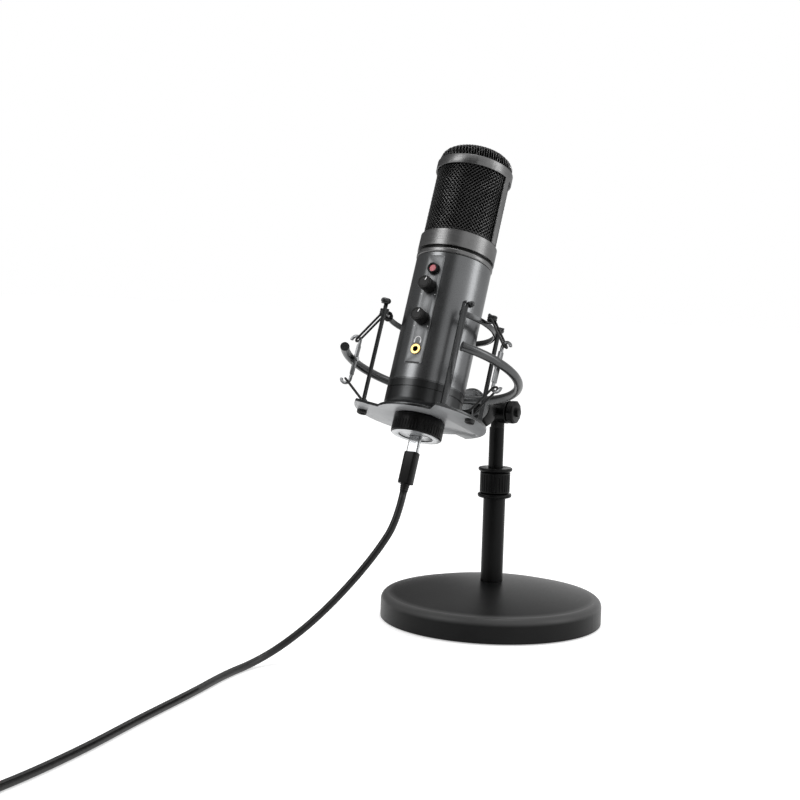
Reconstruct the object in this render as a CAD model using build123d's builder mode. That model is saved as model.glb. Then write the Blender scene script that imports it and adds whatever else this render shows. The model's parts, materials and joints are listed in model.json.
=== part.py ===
from build123d import *
import math
import os

# A desktop microphone: a round weighted base, a telescopic post with a twist clamp, a tilting yoke,
# a wire cradle hung on elastic bands, and a side-address microphone with its USB cord.
# Millimetres. The origin is the centre of the base's underside, +Z is up, and the front is -Y.

# ---------------------------------------------------------------- driving dimensions
BASE_R = 75.0
BASE_WALL = 12.0
BASE_EDGE_R = 5.0
BASE_CROWN = 9.3
PAD_PROUD = 0.8
PAD_THICK = 2.0
PAD_MARGIN = 5.0

LOWER_TUBE_R = 7.5
LOWER_TUBE_WALL = 1.2
UPPER_TUBE_R = 5.0
UPPER_TUBE_WALL = 1.0
SOCKET_FLOOR = 14.0
CLAMP_Z = 83.8
CLAMP_FLANGE_R = 11.5
CLAMP_FLANGE_H = 2.6
CLAMP_NUT_R = 10.2
CLAMP_NUT_H = 14.6
CLAMP_CAP_H = 2.4
CLAMP_RIBS = 30

PIVOT_Z = 142.3
LUG_R = 8.0
LUG_X0 = -2.6
LUG_THICK = 11.1
NECK_LENGTH = 3.0
TONGUE_THICK = 5.5
TILT_BOLT_R = 2.5
TILT_KNOB_R = 7.9
TILT_KNOB_LENGTH = 5.4
TILT_KNOB_FLATS = 10

YOKE_TILT = 24.9
MIC_TILT = 22.3
YOKE_REACH = 96.3
YOKE_DROP = 8.2
YOKE_X = -2.9
YOKE_R = 55.3
YOKE_BAR_R = 2.75
YOKE_START = 46.0
YOKE_ARC = 252.0
STEM_R = 10.0
STEM_RING_LENGTH = 10.5
STEM_LENGTH = 12.0
POST_ANGLES = (-82.0, 78.0)
POST_TOP = 12.0
POST_BOTTOM = -14.0
POST_WIDTH = 3.4
POST_THICK = 1.8
HOOK_R = 3.0
HOOK_WIDTH = 1.6

MIC_SEAT = 45.3
MIC_R = 24.0
MIC_WALL = 2.0
BARREL_BOTTOM = 14.2
BARREL_TOP = 113.2
GROOVES = (25.3, 30.3)
BEAD_TOP = 116.5
GRILLE_BASE_BOTTOM = 118.2
GRILLE_BASE_TOP = 128.9
GRILLE_RING_BOTTOM = 174.0
GRILLE_RING_TOP = 180.3
DOME_SHOULDER = 183.0
GRILLE_APEX = 192.8
DOME_FULLNESS = 0.6
RING_R = 24.6
DOME_R = 24.2
MESH_R = 23.5
MESH_WALL = 0.6
SIDE_BAR_WIDTH = 5.0

NECK_R = 10.6
NUT_R = 16.0
NUT_TOP = 11.7
NUT_RIBS = 48
PLATE_BOTTOM = 12.0
PLATE_THICK = 1.8
PLATE_R = 41.5
PLATE_TURN = -5.0
ROD_R = 36.3
ROD_ANGLES = (-126.5, -53.5, 53.5, 126.5)
ROD_TOP = 80.5
ROD_WIDTH = 3.6
ROD_THICK = 2.6
HOOP_BOTTOM = 72.0
HOOP_TOP = 75.5
PEG_ANGLES = (-79.0, 80.0)
LOW_PEG_R = 38.4
LOW_PEG_HEIGHT = 4.6
HIGH_PEG_REACH = 4.4
PEG_THICK = 1.4

PANEL_HALF = 6.0
PANEL_BOTTOM = 39.5
PANEL_TOP = 110.5
PANEL_FACE = 23.8
PANEL_THICK = 1.15
JACK_S = 48.8
JACK_BORE_R = 1.8
JACK_RING_R = 3.25
JACK_DEPTH = 14.0
VOLUME_S = 68.7
GAIN_S = 89.6
KNOB_R = 4.4
KNOB_FACE = 32.5
MUTE_S = 101.5
BOARD_Y = -10.0
BOARD_THICK = 1.6

CORD_D = 4.5
CORD_FLOOR = CORD_D / 2 + 0.05
PLUG_GAP = 10.0
PLUG_LENGTH = 20.0
PLUG_WIDTH = 9.4
PLUG_DEPTH = 6.4
RELIEF_LENGTH = 5.0
COIL_R = 27.0
COIL_WIDTH = 18.1
COIL_HEIGHT = 9.1
COIL_TAIL = 41.0

FIT = 0.05
SEAT = 0.1
GAP = 0.3

# ---------------------------------------------------------------- frames
X = Vector(1, 0, 0)
yoke_up = Vector(0, math.sin(math.radians(YOKE_TILT)), math.cos(math.radians(YOKE_TILT)))
yoke_rear = yoke_up.cross(X)
mic_up = Vector(0, math.sin(math.radians(MIC_TILT)), math.cos(math.radians(MIC_TILT)))
mic_rear = mic_up.cross(X)

pivot = Vector(0, 0, PIVOT_Z)
yoke_centre = pivot - yoke_rear * YOKE_REACH - yoke_up * YOKE_DROP + X * YOKE_X
mic_foot = yoke_centre - mic_up * MIC_SEAT

yoke = Plane(origin=yoke_centre, x_dir=X, z_dir=yoke_up)
mic = Plane(origin=mic_foot, x_dir=X, z_dir=mic_up)
cradle = Plane(mic.location * Location((0, 0, 0), (0, 0, PLATE_TURN)))
mic_axis = Axis(mic_foot, mic_up)
yoke_axis = Axis(yoke_centre, yoke_up)
mic_section = Plane(origin=mic_foot, x_dir=X, z_dir=-mic_rear)


def radial_plane(frame, angle):
    """The plane through the frame's axis at this angle from the front: x outward, y along the axis."""
    turn = math.radians(angle)
    outward = frame.x_dir * math.sin(turn) - frame.y_dir * math.cos(turn)
    return Plane(origin=frame.origin, x_dir=outward, z_dir=outward.cross(frame.z_dir))


def front_plane(depth, station):
    """A plane facing the front, this far before the microphone's axis and above its foot."""
    return Plane(origin=mic_foot - mic_rear * depth + mic_up * station, x_dir=X, z_dir=-mic_rear)


def save(piece, label):
    """Label a finished piece and write it."""
    piece.part.label = label
    export_step(piece.part, f"parts/{label}.step")


os.makedirs("parts", exist_ok=True)

# ---------------------------------------------------------------- base
base_shoulder = BASE_WALL + BASE_EDGE_R
base_top = base_shoulder + BASE_CROWN
pad_top = PAD_THICK
screw_pocket_top = pad_top + 5.5
screw_pocket_r = 8.0
screw_r = 3.0

with BuildPart() as base_disc:
    with BuildSketch(Plane.XZ):
        with BuildLine():
            floor_line = Line((0, PAD_PROUD), (BASE_R, PAD_PROUD))
            wall_line = Line(floor_line @ 1, (BASE_R, BASE_WALL))
            edge = RadiusArc(wall_line @ 1, (BASE_R - BASE_EDGE_R, base_shoulder), -BASE_EDGE_R)
            crown = TangentArc((BASE_R - BASE_EDGE_R, base_shoulder), (0, base_top), tangent=(-1, 0.27))
            Line(crown @ 1, floor_line @ 0)
        make_face()
    revolve(axis=Axis.Z)
    with BuildSketch(Plane.XY):
        Circle(BASE_R - PAD_MARGIN)
    extrude(amount=pad_top, mode=Mode.SUBTRACT)
    with BuildSketch(Plane.XY):
        Circle(screw_pocket_r)
    extrude(amount=screw_pocket_top, mode=Mode.SUBTRACT)
    with BuildSketch(Plane.XY):
        Circle(screw_r + SEAT)
    extrude(amount=SOCKET_FLOOR, mode=Mode.SUBTRACT)
    with BuildSketch(Plane.XY.offset(SOCKET_FLOOR)):
        Circle(LOWER_TUBE_R)
    extrude(amount=base_top, mode=Mode.SUBTRACT)
save(base_disc, "base_disc")

with BuildPart() as base_pad:
    with BuildSketch(Plane.XY):
        Circle(BASE_R - PAD_MARGIN - SEAT)
    extrude(amount=PAD_THICK)
    chamfer(base_pad.edges().group_by(Axis.Z)[0], 0.3)
save(base_pad, "base_pad")

# ---------------------------------------------------------------- lower tube and its fixing
lower_bore = LOWER_TUBE_R - LOWER_TUBE_WALL
plug_top = SOCKET_FLOOR + 10.0
clamp_neck_r = LOWER_TUBE_R + 1.2
clamp_nut_bottom = CLAMP_Z + CLAMP_FLANGE_H + GAP
clamp_nut_top = clamp_nut_bottom + CLAMP_NUT_H
clamp_cap_bottom = clamp_nut_top + GAP
lower_tube_top = clamp_cap_bottom - 2.4

with BuildPart() as lower_tube:
    with BuildSketch(Plane.XY.offset(SOCKET_FLOOR)):
        Circle(LOWER_TUBE_R)
        Circle(lower_bore, mode=Mode.SUBTRACT)
    extrude(amount=lower_tube_top - SOCKET_FLOOR)
save(lower_tube, "lower_tube")

with BuildPart() as tube_plug:
    with BuildSketch(Plane.XY.offset(SOCKET_FLOOR)):
        Circle(lower_bore)
        Circle(screw_r, mode=Mode.SUBTRACT)
    extrude(amount=plug_top - SOCKET_FLOOR)
save(tube_plug, "tube_plug")

with BuildPart() as base_screw:
    with BuildSketch(Plane.XY.offset(screw_pocket_top - 4.0)):
        Circle(screw_pocket_r - 1.5)
        RegularPolygon(2.6, 6, mode=Mode.SUBTRACT)
    extrude(amount=2.6)
    with BuildSketch(Plane.XY.offset(screw_pocket_top - 1.4)):
        Circle(screw_pocket_r - 1.5)
    extrude(amount=1.4)
    with BuildSketch(Plane.XY.offset(screw_pocket_top)):
        Circle(screw_r)
    extrude(amount=plug_top - 1.0 - screw_pocket_top)
save(base_screw, "base_screw")

# ---------------------------------------------------------------- twist clamp
with BuildPart() as clamp_sleeve:
    with BuildSketch(Plane.XY.offset(CLAMP_Z)):
        Circle(CLAMP_FLANGE_R)
    extrude(amount=CLAMP_FLANGE_H)
    chamfer(clamp_sleeve.edges(), 0.6)
    with BuildSketch(Plane.XY.offset(CLAMP_Z + CLAMP_FLANGE_H)):
        Circle(clamp_neck_r)
    extrude(amount=lower_tube_top - CLAMP_Z - CLAMP_FLANGE_H)
    with BuildSketch(Plane.XY.offset(CLAMP_Z)):
        Circle(LOWER_TUBE_R)
    extrude(amount=CLAMP_NUT_H + CLAMP_CAP_H + CLAMP_FLANGE_H, mode=Mode.SUBTRACT)
save(clamp_sleeve, "clamp_sleeve")

with BuildPart() as clamp_nut:
    with BuildSketch(Plane.XY.offset(clamp_nut_bottom)):
        Circle(CLAMP_NUT_R)
    extrude(amount=CLAMP_NUT_H)
    chamfer(clamp_nut.edges(), 0.7)
    with BuildSketch(Plane.XY.offset(clamp_nut_bottom + 1.6)):
        with PolarLocations(CLAMP_NUT_R + 0.15, CLAMP_RIBS):
            Circle(0.6)
    extrude(amount=CLAMP_NUT_H - 3.2, mode=Mode.SUBTRACT)
    with BuildSketch(Plane.XY.offset(clamp_nut_bottom)):
        Circle(clamp_neck_r + SEAT)
    extrude(amount=CLAMP_NUT_H, mode=Mode.SUBTRACT)
save(clamp_nut, "clamp_nut")

with BuildPart() as clamp_cap:
    with BuildSketch(Plane.XY.offset(clamp_cap_bottom)):
        Circle(CLAMP_FLANGE_R)
    extrude(amount=CLAMP_CAP_H)
    chamfer(clamp_cap.edges(), 0.6)
    with BuildSketch(Plane.XY.offset(lower_tube_top)):
        Circle(clamp_neck_r)
        Circle(LOWER_TUBE_R, mode=Mode.SUBTRACT)
    extrude(amount=clamp_cap_bottom - lower_tube_top)
    with BuildSketch(Plane.XY.offset(clamp_cap_bottom)):
        Circle(UPPER_TUBE_R + SEAT)
    extrude(amount=CLAMP_CAP_H, mode=Mode.SUBTRACT)
save(clamp_cap, "clamp_cap")

with BuildPart() as collet:
    with BuildSketch(Plane.XY.offset(lower_tube_top)):
        Circle(LOWER_TUBE_R - SEAT)
    extrude(amount=clamp_cap_bottom - lower_tube_top)
    with BuildSketch(Plane.XY.offset(lower_tube_top)):
        Circle(lower_bore)
    extrude(amount=-8.0)
    with BuildSketch(Plane.XY.offset(lower_tube_top - 8.0)):
        Circle(UPPER_TUBE_R + FIT)
        Rectangle(1.2, 4 * LOWER_TUBE_R, align=(Align.CENTER, Align.MIN))
    extrude(amount=12.0, mode=Mode.SUBTRACT)
save(collet, "collet")

# ---------------------------------------------------------------- sliding mast
mast_foot_z = SOCKET_FLOOR + 26.5
mast_foot_flange = 3.0
mast_bottom = mast_foot_z + mast_foot_flange + SEAT
mast_top = PIVOT_Z - LUG_R - NECK_LENGTH
mast_bore = UPPER_TUBE_R - UPPER_TUBE_WALL
lug_x1 = LUG_X0 + LUG_THICK

with BuildPart() as mast_foot:
    with BuildSketch(Plane.XY.offset(mast_foot_z)):
        Circle(lower_bore - FIT)
    extrude(amount=mast_foot_flange)
    with BuildSketch(Plane.XY.offset(mast_foot_z + mast_foot_flange)):
        Circle(mast_bore - FIT)
    extrude(amount=9.0)
save(mast_foot, "mast_foot")

with BuildPart() as upper_tube:
    with BuildSketch(Plane.XY.offset(mast_bottom)):
        Circle(UPPER_TUBE_R)
        Circle(mast_bore, mode=Mode.SUBTRACT)
    extrude(amount=mast_top - mast_bottom)
save(upper_tube, "upper_tube")

with BuildPart() as swivel_head:
    with BuildSketch(Plane.YZ.offset(LUG_X0)):
        with Locations((0, PIVOT_Z)):
            Circle(LUG_R)
    extrude(amount=LUG_THICK)
    chamfer(swivel_head.edges().filter_by(GeomType.CIRCLE), 0.5)
    with BuildSketch(Plane.XY.offset(mast_top)):
        Circle(UPPER_TUBE_R)
        with Locations((LUG_X0, 0)):
            Rectangle(20, 20, align=(Align.MAX, Align.CENTER), mode=Mode.SUBTRACT)
    extrude(amount=LUG_R)
    with BuildSketch(Plane.XY.offset(mast_top)):
        Circle(mast_bore - FIT)
    extrude(amount=-14.0)
    with BuildSketch(Plane.YZ.offset(LUG_X0)):
        with Locations((0, PIVOT_Z)):
            Circle(TILT_BOLT_R + FIT)
    extrude(amount=LUG_THICK, mode=Mode.SUBTRACT)
save(swivel_head, "swivel_head")

# ---------------------------------------------------------------- tilt knob and its bolt
tongue_x0 = LUG_X0 - GAP - TONGUE_THICK
knob_x0 = lug_x1 + 0.4
knob_x1 = knob_x0 + TILT_KNOB_LENGTH
bolt_head_length = 2.6
bolt_head_r = 4.8
knob_stub_r = 3.2
knob_stub_length = 2.0

with BuildPart() as tilt_knob:
    with BuildSketch(Plane.YZ.offset(knob_x0)):
        with Locations((0, PIVOT_Z)):
            RegularPolygon(TILT_KNOB_R, TILT_KNOB_FLATS)
    extrude(amount=TILT_KNOB_LENGTH)
    chamfer(tilt_knob.faces().filter_by(Axis.X).edges(), 0.9)
    with BuildSketch(Plane.YZ.offset(knob_x1)):
        with Locations((0, PIVOT_Z)):
            Circle(knob_stub_r)
    extrude(amount=knob_stub_length)
    chamfer(tilt_knob.edges().sort_by(Axis.X)[-1], 0.4)
    with BuildSketch(Plane.YZ.offset(knob_x0)):
        with Locations((0, PIVOT_Z)):
            Circle(TILT_BOLT_R)
    extrude(amount=TILT_KNOB_LENGTH - 1.0, mode=Mode.SUBTRACT)
save(tilt_knob, "tilt_knob")

with BuildPart() as tilt_bolt:
    with BuildSketch(Plane.YZ.offset(tongue_x0 - GAP)):
        with Locations((0, PIVOT_Z)):
            Circle(TILT_BOLT_R)
    extrude(amount=knob_x1 - 1.0 - tongue_x0 + GAP)
    with BuildSketch(Plane.YZ.offset(tongue_x0 - GAP)):
        with Locations((0, PIVOT_Z)):
            RegularPolygon(bolt_head_r, 6)
    extrude(amount=-bolt_head_length)
save(tilt_bolt, "tilt_bolt")

# ---------------------------------------------------------------- yoke
stem_plane = Plane(origin=yoke_centre + yoke_rear * YOKE_R, x_dir=X, z_dir=yoke_rear)
stem_ring_start = YOKE_BAR_R + 1.4
stem_start = stem_ring_start + STEM_RING_LENGTH
spigot_r = 5.0
boss_r = 7.0

with BuildPart() as yoke_bar:
    with BuildSketch(radial_plane(yoke, YOKE_START)):
        with Locations((YOKE_R, 0)):
            Circle(YOKE_BAR_R)
    revolve(axis=yoke_axis, revolution_arc=YOKE_ARC)
    with BuildSketch(stem_plane):
        Circle(boss_r)
    extrude(amount=stem_ring_start)
    with BuildSketch(stem_plane.offset(stem_ring_start)):
        Circle(spigot_r)
    extrude(amount=STEM_RING_LENGTH + 5.0)
save(yoke_bar, "yoke_bar")

with BuildPart() as bar_caps:
    for end_angle, out in ((YOKE_START, 1), (YOKE_START + YOKE_ARC, -1)):
        with BuildSketch(radial_plane(yoke, end_angle)):
            with Locations((YOKE_R, 0)):
                Circle(YOKE_BAR_R + 0.15)
        extrude(amount=1.2 * out)
save(bar_caps, "bar_caps")

with BuildPart() as stem_ring:
    with BuildSketch(stem_plane.offset(stem_ring_start)):
        Circle(STEM_R + 0.3)
    extrude(amount=STEM_RING_LENGTH - SEAT)
    chamfer(stem_ring.edges(), 0.8)
    with BuildSketch(stem_plane.offset(stem_ring_start)):
        Circle(spigot_r)
    extrude(amount=STEM_RING_LENGTH, mode=Mode.SUBTRACT)
save(stem_ring, "stem_ring")

with BuildPart() as tilt_arm:
    with BuildSketch(stem_plane.offset(stem_start)):
        Circle(STEM_R)
    extrude(amount=STEM_LENGTH)
    chamfer(tilt_arm.edges(), 0.8)
    with BuildSketch(Plane.YZ.offset(tongue_x0)):
        stem_mid = stem_plane.origin + yoke_rear * (stem_start + LUG_R)
        with Locations((0, PIVOT_Z), (stem_mid.Y, stem_mid.Z)):
            Circle(LUG_R - 0.1)
        make_hull()
    extrude(amount=TONGUE_THICK)
    with BuildSketch(stem_plane.offset(stem_start)):
        Circle(spigot_r)
    extrude(amount=5.0, mode=Mode.SUBTRACT)
    with BuildSketch(Plane.YZ.offset(tongue_x0)):
        with Locations((0, PIVOT_Z)):
            Circle(TILT_BOLT_R + FIT)
    extrude(amount=TONGUE_THICK, mode=Mode.SUBTRACT)
save(tilt_arm, "tilt_arm")

# ---------------------------------------------------------------- outer posts with their hooks
post_r = YOKE_R - YOKE_BAR_R - POST_THICK / 2 - FIT
hook_x = post_r + HOOK_R
posts = {"left_post": POST_ANGLES[0], "right_post": POST_ANGLES[1]}

for name, angle in posts.items():
    plane = radial_plane(yoke, angle)
    with BuildPart() as post:
        with BuildSketch(plane):
            with BuildLine():
                low_hook = CenterArc((hook_x, POST_BOTTOM), HOOK_R, 180, 180)
                upright = Line((post_r, POST_BOTTOM), (post_r, POST_TOP))
                high_hook = CenterArc((hook_x, POST_TOP), HOOK_R, 0, 180)
            trace(line_width=POST_THICK)
        extrude(amount=HOOK_WIDTH / 2, both=True)
        with BuildSketch(plane):
            with Locations((post_r, (POST_BOTTOM + POST_TOP) / 2)):
                Rectangle(POST_THICK, POST_TOP - POST_BOTTOM - 6.0)
        extrude(amount=POST_WIDTH / 2, both=True)
    save(post, name)

with BuildPart() as post_rivets:
    for angle in POST_ANGLES:
        with BuildSketch(radial_plane(yoke, angle)):
            with Locations((post_r - POST_THICK / 2, 0)):
                Rectangle(0.9, 1.5, align=(Align.MAX, Align.MIN))
        revolve(axis=Axis(yoke_centre, radial_plane(yoke, angle).x_dir))
save(post_rivets, "post_rivets")

# ---------------------------------------------------------------- cradle
plate_top = PLATE_BOTTOM + PLATE_THICK


def wedge(half_angle, turned):
    """A wide triangle from the axis, centred this far round from the front."""
    reach = 2 * PLATE_R
    sides = [math.radians(turned - half_angle), math.radians(turned + half_angle)]
    corners = [(reach * math.sin(a), -reach * math.cos(a)) for a in sides]
    return [(0, 0)] + corners


with BuildPart() as cradle_plate:
    with BuildSketch(cradle.offset(PLATE_BOTTOM)) as outline:
        Circle(PLATE_R)
        Polygon(*wedge(14.0, 180.0), align=None, mode=Mode.SUBTRACT)
        Circle(32.0)
        Polygon(*wedge(44.0, 0.0), align=None, mode=Mode.SUBTRACT)
        Circle(27.5)
        Circle(NECK_R + 0.4, mode=Mode.SUBTRACT)
        with PolarLocations(PLATE_R - 4.5, 2, start_angle=52, angular_range=76, endpoint=True):
            Circle(1.0, mode=Mode.SUBTRACT)
    extrude(amount=PLATE_THICK)
    for side in PEG_ANGLES:
        with BuildSketch(radial_plane(mic, side)):
            with BuildLine():
                lip = plate_top + LOW_PEG_HEIGHT
                Polyline((LOW_PEG_R, plate_top - 1.0), (LOW_PEG_R, lip), (LOW_PEG_R - 1.8, lip))
            trace(line_width=PEG_THICK)
        extrude(amount=HOOK_WIDTH / 2, both=True)
save(cradle_plate, "cradle_plate")

rod_pairs = {"front_rods": ROD_ANGLES[1:3], "rear_rods": (ROD_ANGLES[3], ROD_ANGLES[0])}
for name, angles in rod_pairs.items():
    with BuildPart() as rods:
        for angle in angles:
            plane = radial_plane(cradle, angle)
            with BuildSketch(plane):
                with Locations((ROD_R, plate_top)):
                    Rectangle(ROD_THICK, ROD_TOP - plate_top, align=(Align.CENTER, Align.MIN))
                with Locations((ROD_R - ROD_THICK / 2, plate_top)):
                    Rectangle(4.0, 1.4, align=(Align.MIN, Align.MIN))
                with Locations((ROD_R - ROD_THICK / 2, ROD_TOP)):
                    Rectangle(4.4, 1.2, align=(Align.MIN, Align.MAX))
            extrude(amount=ROD_WIDTH / 2, both=True)
            with BuildSketch(plane):
                with Locations((ROD_R - ROD_THICK, ROD_TOP)):
                    Rectangle(8.0, 3.0, align=(Align.MIN, Align.MAX))
            extrude(amount=0.5, both=True, mode=Mode.SUBTRACT)
    save(rods, name)

hoop_r = ROD_R - ROD_THICK / 2
hoop_start = ROD_ANGLES[2] - 3.0
with BuildPart() as cradle_hoop:
    with BuildSketch(radial_plane(cradle, hoop_start)):
        with Locations((hoop_r, HOOP_BOTTOM)):
            Rectangle(1.4, HOOP_TOP - HOOP_BOTTOM, align=(Align.MAX, Align.MIN))
    revolve(axis=mic_axis, revolution_arc=360 - 2 * hoop_start)
    for side in PEG_ANGLES:
        with BuildSketch(radial_plane(mic, side)):
            with BuildLine():
                peg_r = hoop_r + HIGH_PEG_REACH
                Polyline((hoop_r - 0.4, HOOP_TOP - 1.0), (peg_r, HOOP_TOP - 1.0), (peg_r, HOOP_TOP + 2.2))
            trace(line_width=PEG_THICK)
        extrude(amount=HOOK_WIDTH / 2, both=True)
save(cradle_hoop, "cradle_hoop")

# ---------------------------------------------------------------- elastic bands
band_inner = 2.7
band_outer = 6.1
band_slack = 0.9
band_thick = 1.7


def band_plane(inner_point, outer_point, tangent):
    """The plane of an elastic loop drawn round two hooks: x from one hook to the other."""
    along = outer_point - inner_point
    return Plane(origin=(inner_point + outer_point) * 0.5, x_dir=along, z_dir=along.cross(tangent))


def band_ends(level, peg_angle, post_angle):
    """Where one loop's two ends sit, on the cradle's peg and in the post's hook."""
    peg_plane = radial_plane(mic, peg_angle)
    post_plane = radial_plane(yoke, post_angle)
    pull = HOOK_R * math.sqrt(0.5)
    if level == "upper":
        peg = (hoop_r + HIGH_PEG_REACH - 0.4, HOOP_TOP + 1.2)
        hook = (hook_x - pull, POST_TOP + pull)
    else:
        peg = (LOW_PEG_R, plate_top + 3.4)
        hook = (hook_x - pull, POST_BOTTOM - pull)
    return peg_plane.from_local_coords(peg), post_plane.from_local_coords(hook), peg_plane.z_dir


for level in ("upper", "lower"):
    with BuildPart() as bands:
        for peg_angle, post_angle in zip(PEG_ANGLES, POST_ANGLES):
            peg, hook, tangent = band_ends(level, peg_angle, post_angle)
            centres = (hook - peg).length + 2 * band_slack
            with BuildSketch(band_plane(peg, hook, tangent)):
                SlotCenterToCenter(centres, band_outer)
                SlotCenterToCenter(centres, band_inner, mode=Mode.SUBTRACT)
            extrude(amount=band_thick / 2, both=True)
    save(bands, f"{level}_bands")

# ---------------------------------------------------------------- microphone barrel
bore_r = MIC_R - MIC_WALL
barrel_floor = BARREL_BOTTOM + 2.8
round_r = 4.0
groove_half = 0.35
groove_depth = 0.5

with BuildPart() as mic_barrel:
    with BuildSketch(mic_section):
        with BuildLine():
            bottom = Line((NECK_R + SEAT, BARREL_BOTTOM), (MIC_R - round_r, BARREL_BOTTOM))
            corner = RadiusArc(bottom @ 1, (MIC_R, BARREL_BOTTOM + round_r), -round_r)
            Polyline(
                corner @ 1,
                (MIC_R, BARREL_TOP - 0.3),
                (MIC_R - 0.3, BARREL_TOP),
                (bore_r, BARREL_TOP),
                (bore_r, barrel_floor),
                (NECK_R + SEAT, barrel_floor),
                bottom @ 0,
            )
        make_face()
        for station in GROOVES:
            with Locations((MIC_R, station)):
                Rectangle(2 * groove_depth, 2 * groove_half, mode=Mode.SUBTRACT)
    revolve(axis=mic_axis)
    with BuildSketch(front_plane(PANEL_FACE - PANEL_THICK, (PANEL_BOTTOM + PANEL_TOP) / 2)):
        Rectangle(2 * PANEL_HALF + 2 * SEAT, PANEL_TOP - PANEL_BOTTOM + 2 * SEAT)
    extrude(amount=5.0, mode=Mode.SUBTRACT)
    for station in (JACK_S, VOLUME_S, GAIN_S, MUTE_S):
        with BuildSketch(front_plane(bore_r - 3.0, station)):
            Circle(JACK_RING_R + SEAT)
        extrude(amount=6.0, mode=Mode.SUBTRACT)
save(mic_barrel, "mic_barrel")

with BuildPart() as front_panel:
    with BuildSketch(front_plane(PANEL_FACE - PANEL_THICK, (PANEL_BOTTOM + PANEL_TOP) / 2)):
        RectangleRounded(2 * PANEL_HALF, PANEL_TOP - PANEL_BOTTOM, 0.6)
    extrude(amount=PANEL_THICK)
    for station in (JACK_S, VOLUME_S, GAIN_S, MUTE_S):
        with BuildSketch(front_plane(PANEL_FACE - PANEL_THICK, station)):
            Circle(JACK_RING_R)
        extrude(amount=PANEL_THICK, mode=Mode.SUBTRACT)
save(front_panel, "front_panel")

# ---------------------------------------------------------------- neck, retaining nut and USB socket
socket_width = 9.1
socket_height = 3.3
socket_wall = 0.3
socket_depth = 8.0
tongue_width = 6.6
tongue_thick = 0.7
neck_bottom = 0.4

with BuildPart() as port_neck:
    with BuildSketch(mic.offset(neck_bottom)):
        Circle(NECK_R)
    extrude(amount=barrel_floor - neck_bottom)
    with BuildSketch(mic.offset(barrel_floor)):
        Circle(NECK_R + 4.0)
    extrude(amount=2.0)
    with BuildSketch(mic.offset(neck_bottom)):
        SlotOverall(socket_width + 2 * FIT, socket_height + 2 * FIT)
    extrude(amount=socket_depth, mode=Mode.SUBTRACT)
save(port_neck, "port_neck")

with BuildPart() as usb_socket:
    with BuildSketch(mic.offset(neck_bottom + 0.2)):
        SlotOverall(socket_width, socket_height)
    extrude(amount=socket_depth - 0.3)
    with BuildSketch(mic.offset(neck_bottom + 0.2)):
        SlotOverall(socket_width - 2 * socket_wall, socket_height - 2 * socket_wall)
        Rectangle(tongue_width, tongue_thick, mode=Mode.SUBTRACT)
    extrude(amount=socket_depth - 1.2, mode=Mode.SUBTRACT)
save(usb_socket, "usb_socket")

with BuildPart() as retaining_nut:
    with BuildSketch(mic):
        Circle(NUT_R)
    extrude(amount=NUT_TOP)
    chamfer(retaining_nut.edges(), 0.8)
    with BuildSketch(mic.offset(1.2)):
        with PolarLocations(NUT_R + 0.1, NUT_RIBS):
            Circle(0.45)
    extrude(amount=5.6, mode=Mode.SUBTRACT)
    with BuildSketch(mic):
        Circle(NECK_R + SEAT)
    extrude(amount=NUT_TOP, mode=Mode.SUBTRACT)
save(retaining_nut, "retaining_nut")

# ---------------------------------------------------------------- grille head
spigot_outer = bore_r - FIT
shoulder_r = RING_R - 1.2
base_bore = 20.0

with BuildPart() as grille_base:
    with BuildSketch(mic.offset(BARREL_TOP - 5.0)):
        Circle(spigot_outer)
    extrude(amount=5.0)
    with BuildSketch(mic.offset(BARREL_TOP)):
        Circle(shoulder_r)
    extrude(amount=GRILLE_BASE_BOTTOM - BARREL_TOP)
    with BuildSketch(mic.offset(GRILLE_BASE_BOTTOM)):
        Circle(RING_R)
    extrude(amount=GRILLE_BASE_TOP - GRILLE_BASE_BOTTOM)
    chamfer(grille_base.edges().group_by(mic_axis)[-1], 0.3)
    with BuildSketch(mic.offset(BARREL_TOP - 5.0)):
        Circle(base_bore)
    extrude(amount=30.0, mode=Mode.SUBTRACT)
save(grille_base, "grille_base")

with BuildPart() as bead_ring:
    with BuildSketch(mic.offset(BARREL_TOP + 0.1)):
        Circle(MIC_R + 0.4)
    extrude(amount=BEAD_TOP - BARREL_TOP - 0.1)
    fillet(bead_ring.edges(), 0.9)
    with BuildSketch(mic.offset(BARREL_TOP)):
        Circle(shoulder_r + FIT)
    extrude(amount=10.0, mode=Mode.SUBTRACT)
save(bead_ring, "bead_ring")

with BuildPart() as grille_frame:
    with BuildSketch(mic.offset(GRILLE_RING_BOTTOM)):
        Circle(RING_R)
        Circle(MESH_R + SEAT, mode=Mode.SUBTRACT)
    extrude(amount=GRILLE_RING_TOP - GRILLE_RING_BOTTOM)
    chamfer(grille_frame.edges().group_by(mic_axis)[-1].sort_by(SortBy.LENGTH)[-1], 0.3)
    with BuildSketch(mic.offset(GRILLE_BASE_TOP)):
        Circle(RING_R)
        Circle(MESH_R + SEAT, mode=Mode.SUBTRACT)
        Rectangle(3 * RING_R, SIDE_BAR_WIDTH, mode=Mode.INTERSECT)
    extrude(amount=GRILLE_RING_BOTTOM - GRILLE_BASE_TOP)
save(grille_frame, "grille_frame")

mesh_top = GRILLE_RING_TOP - 2.2
with BuildPart() as grille_mesh:
    with BuildSketch(mic.offset(GRILLE_BASE_TOP)):
        Circle(MESH_R)
        Circle(MESH_R - MESH_WALL, mode=Mode.SUBTRACT)
    extrude(amount=mesh_top - GRILLE_BASE_TOP)
save(grille_mesh, "grille_mesh")

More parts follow.
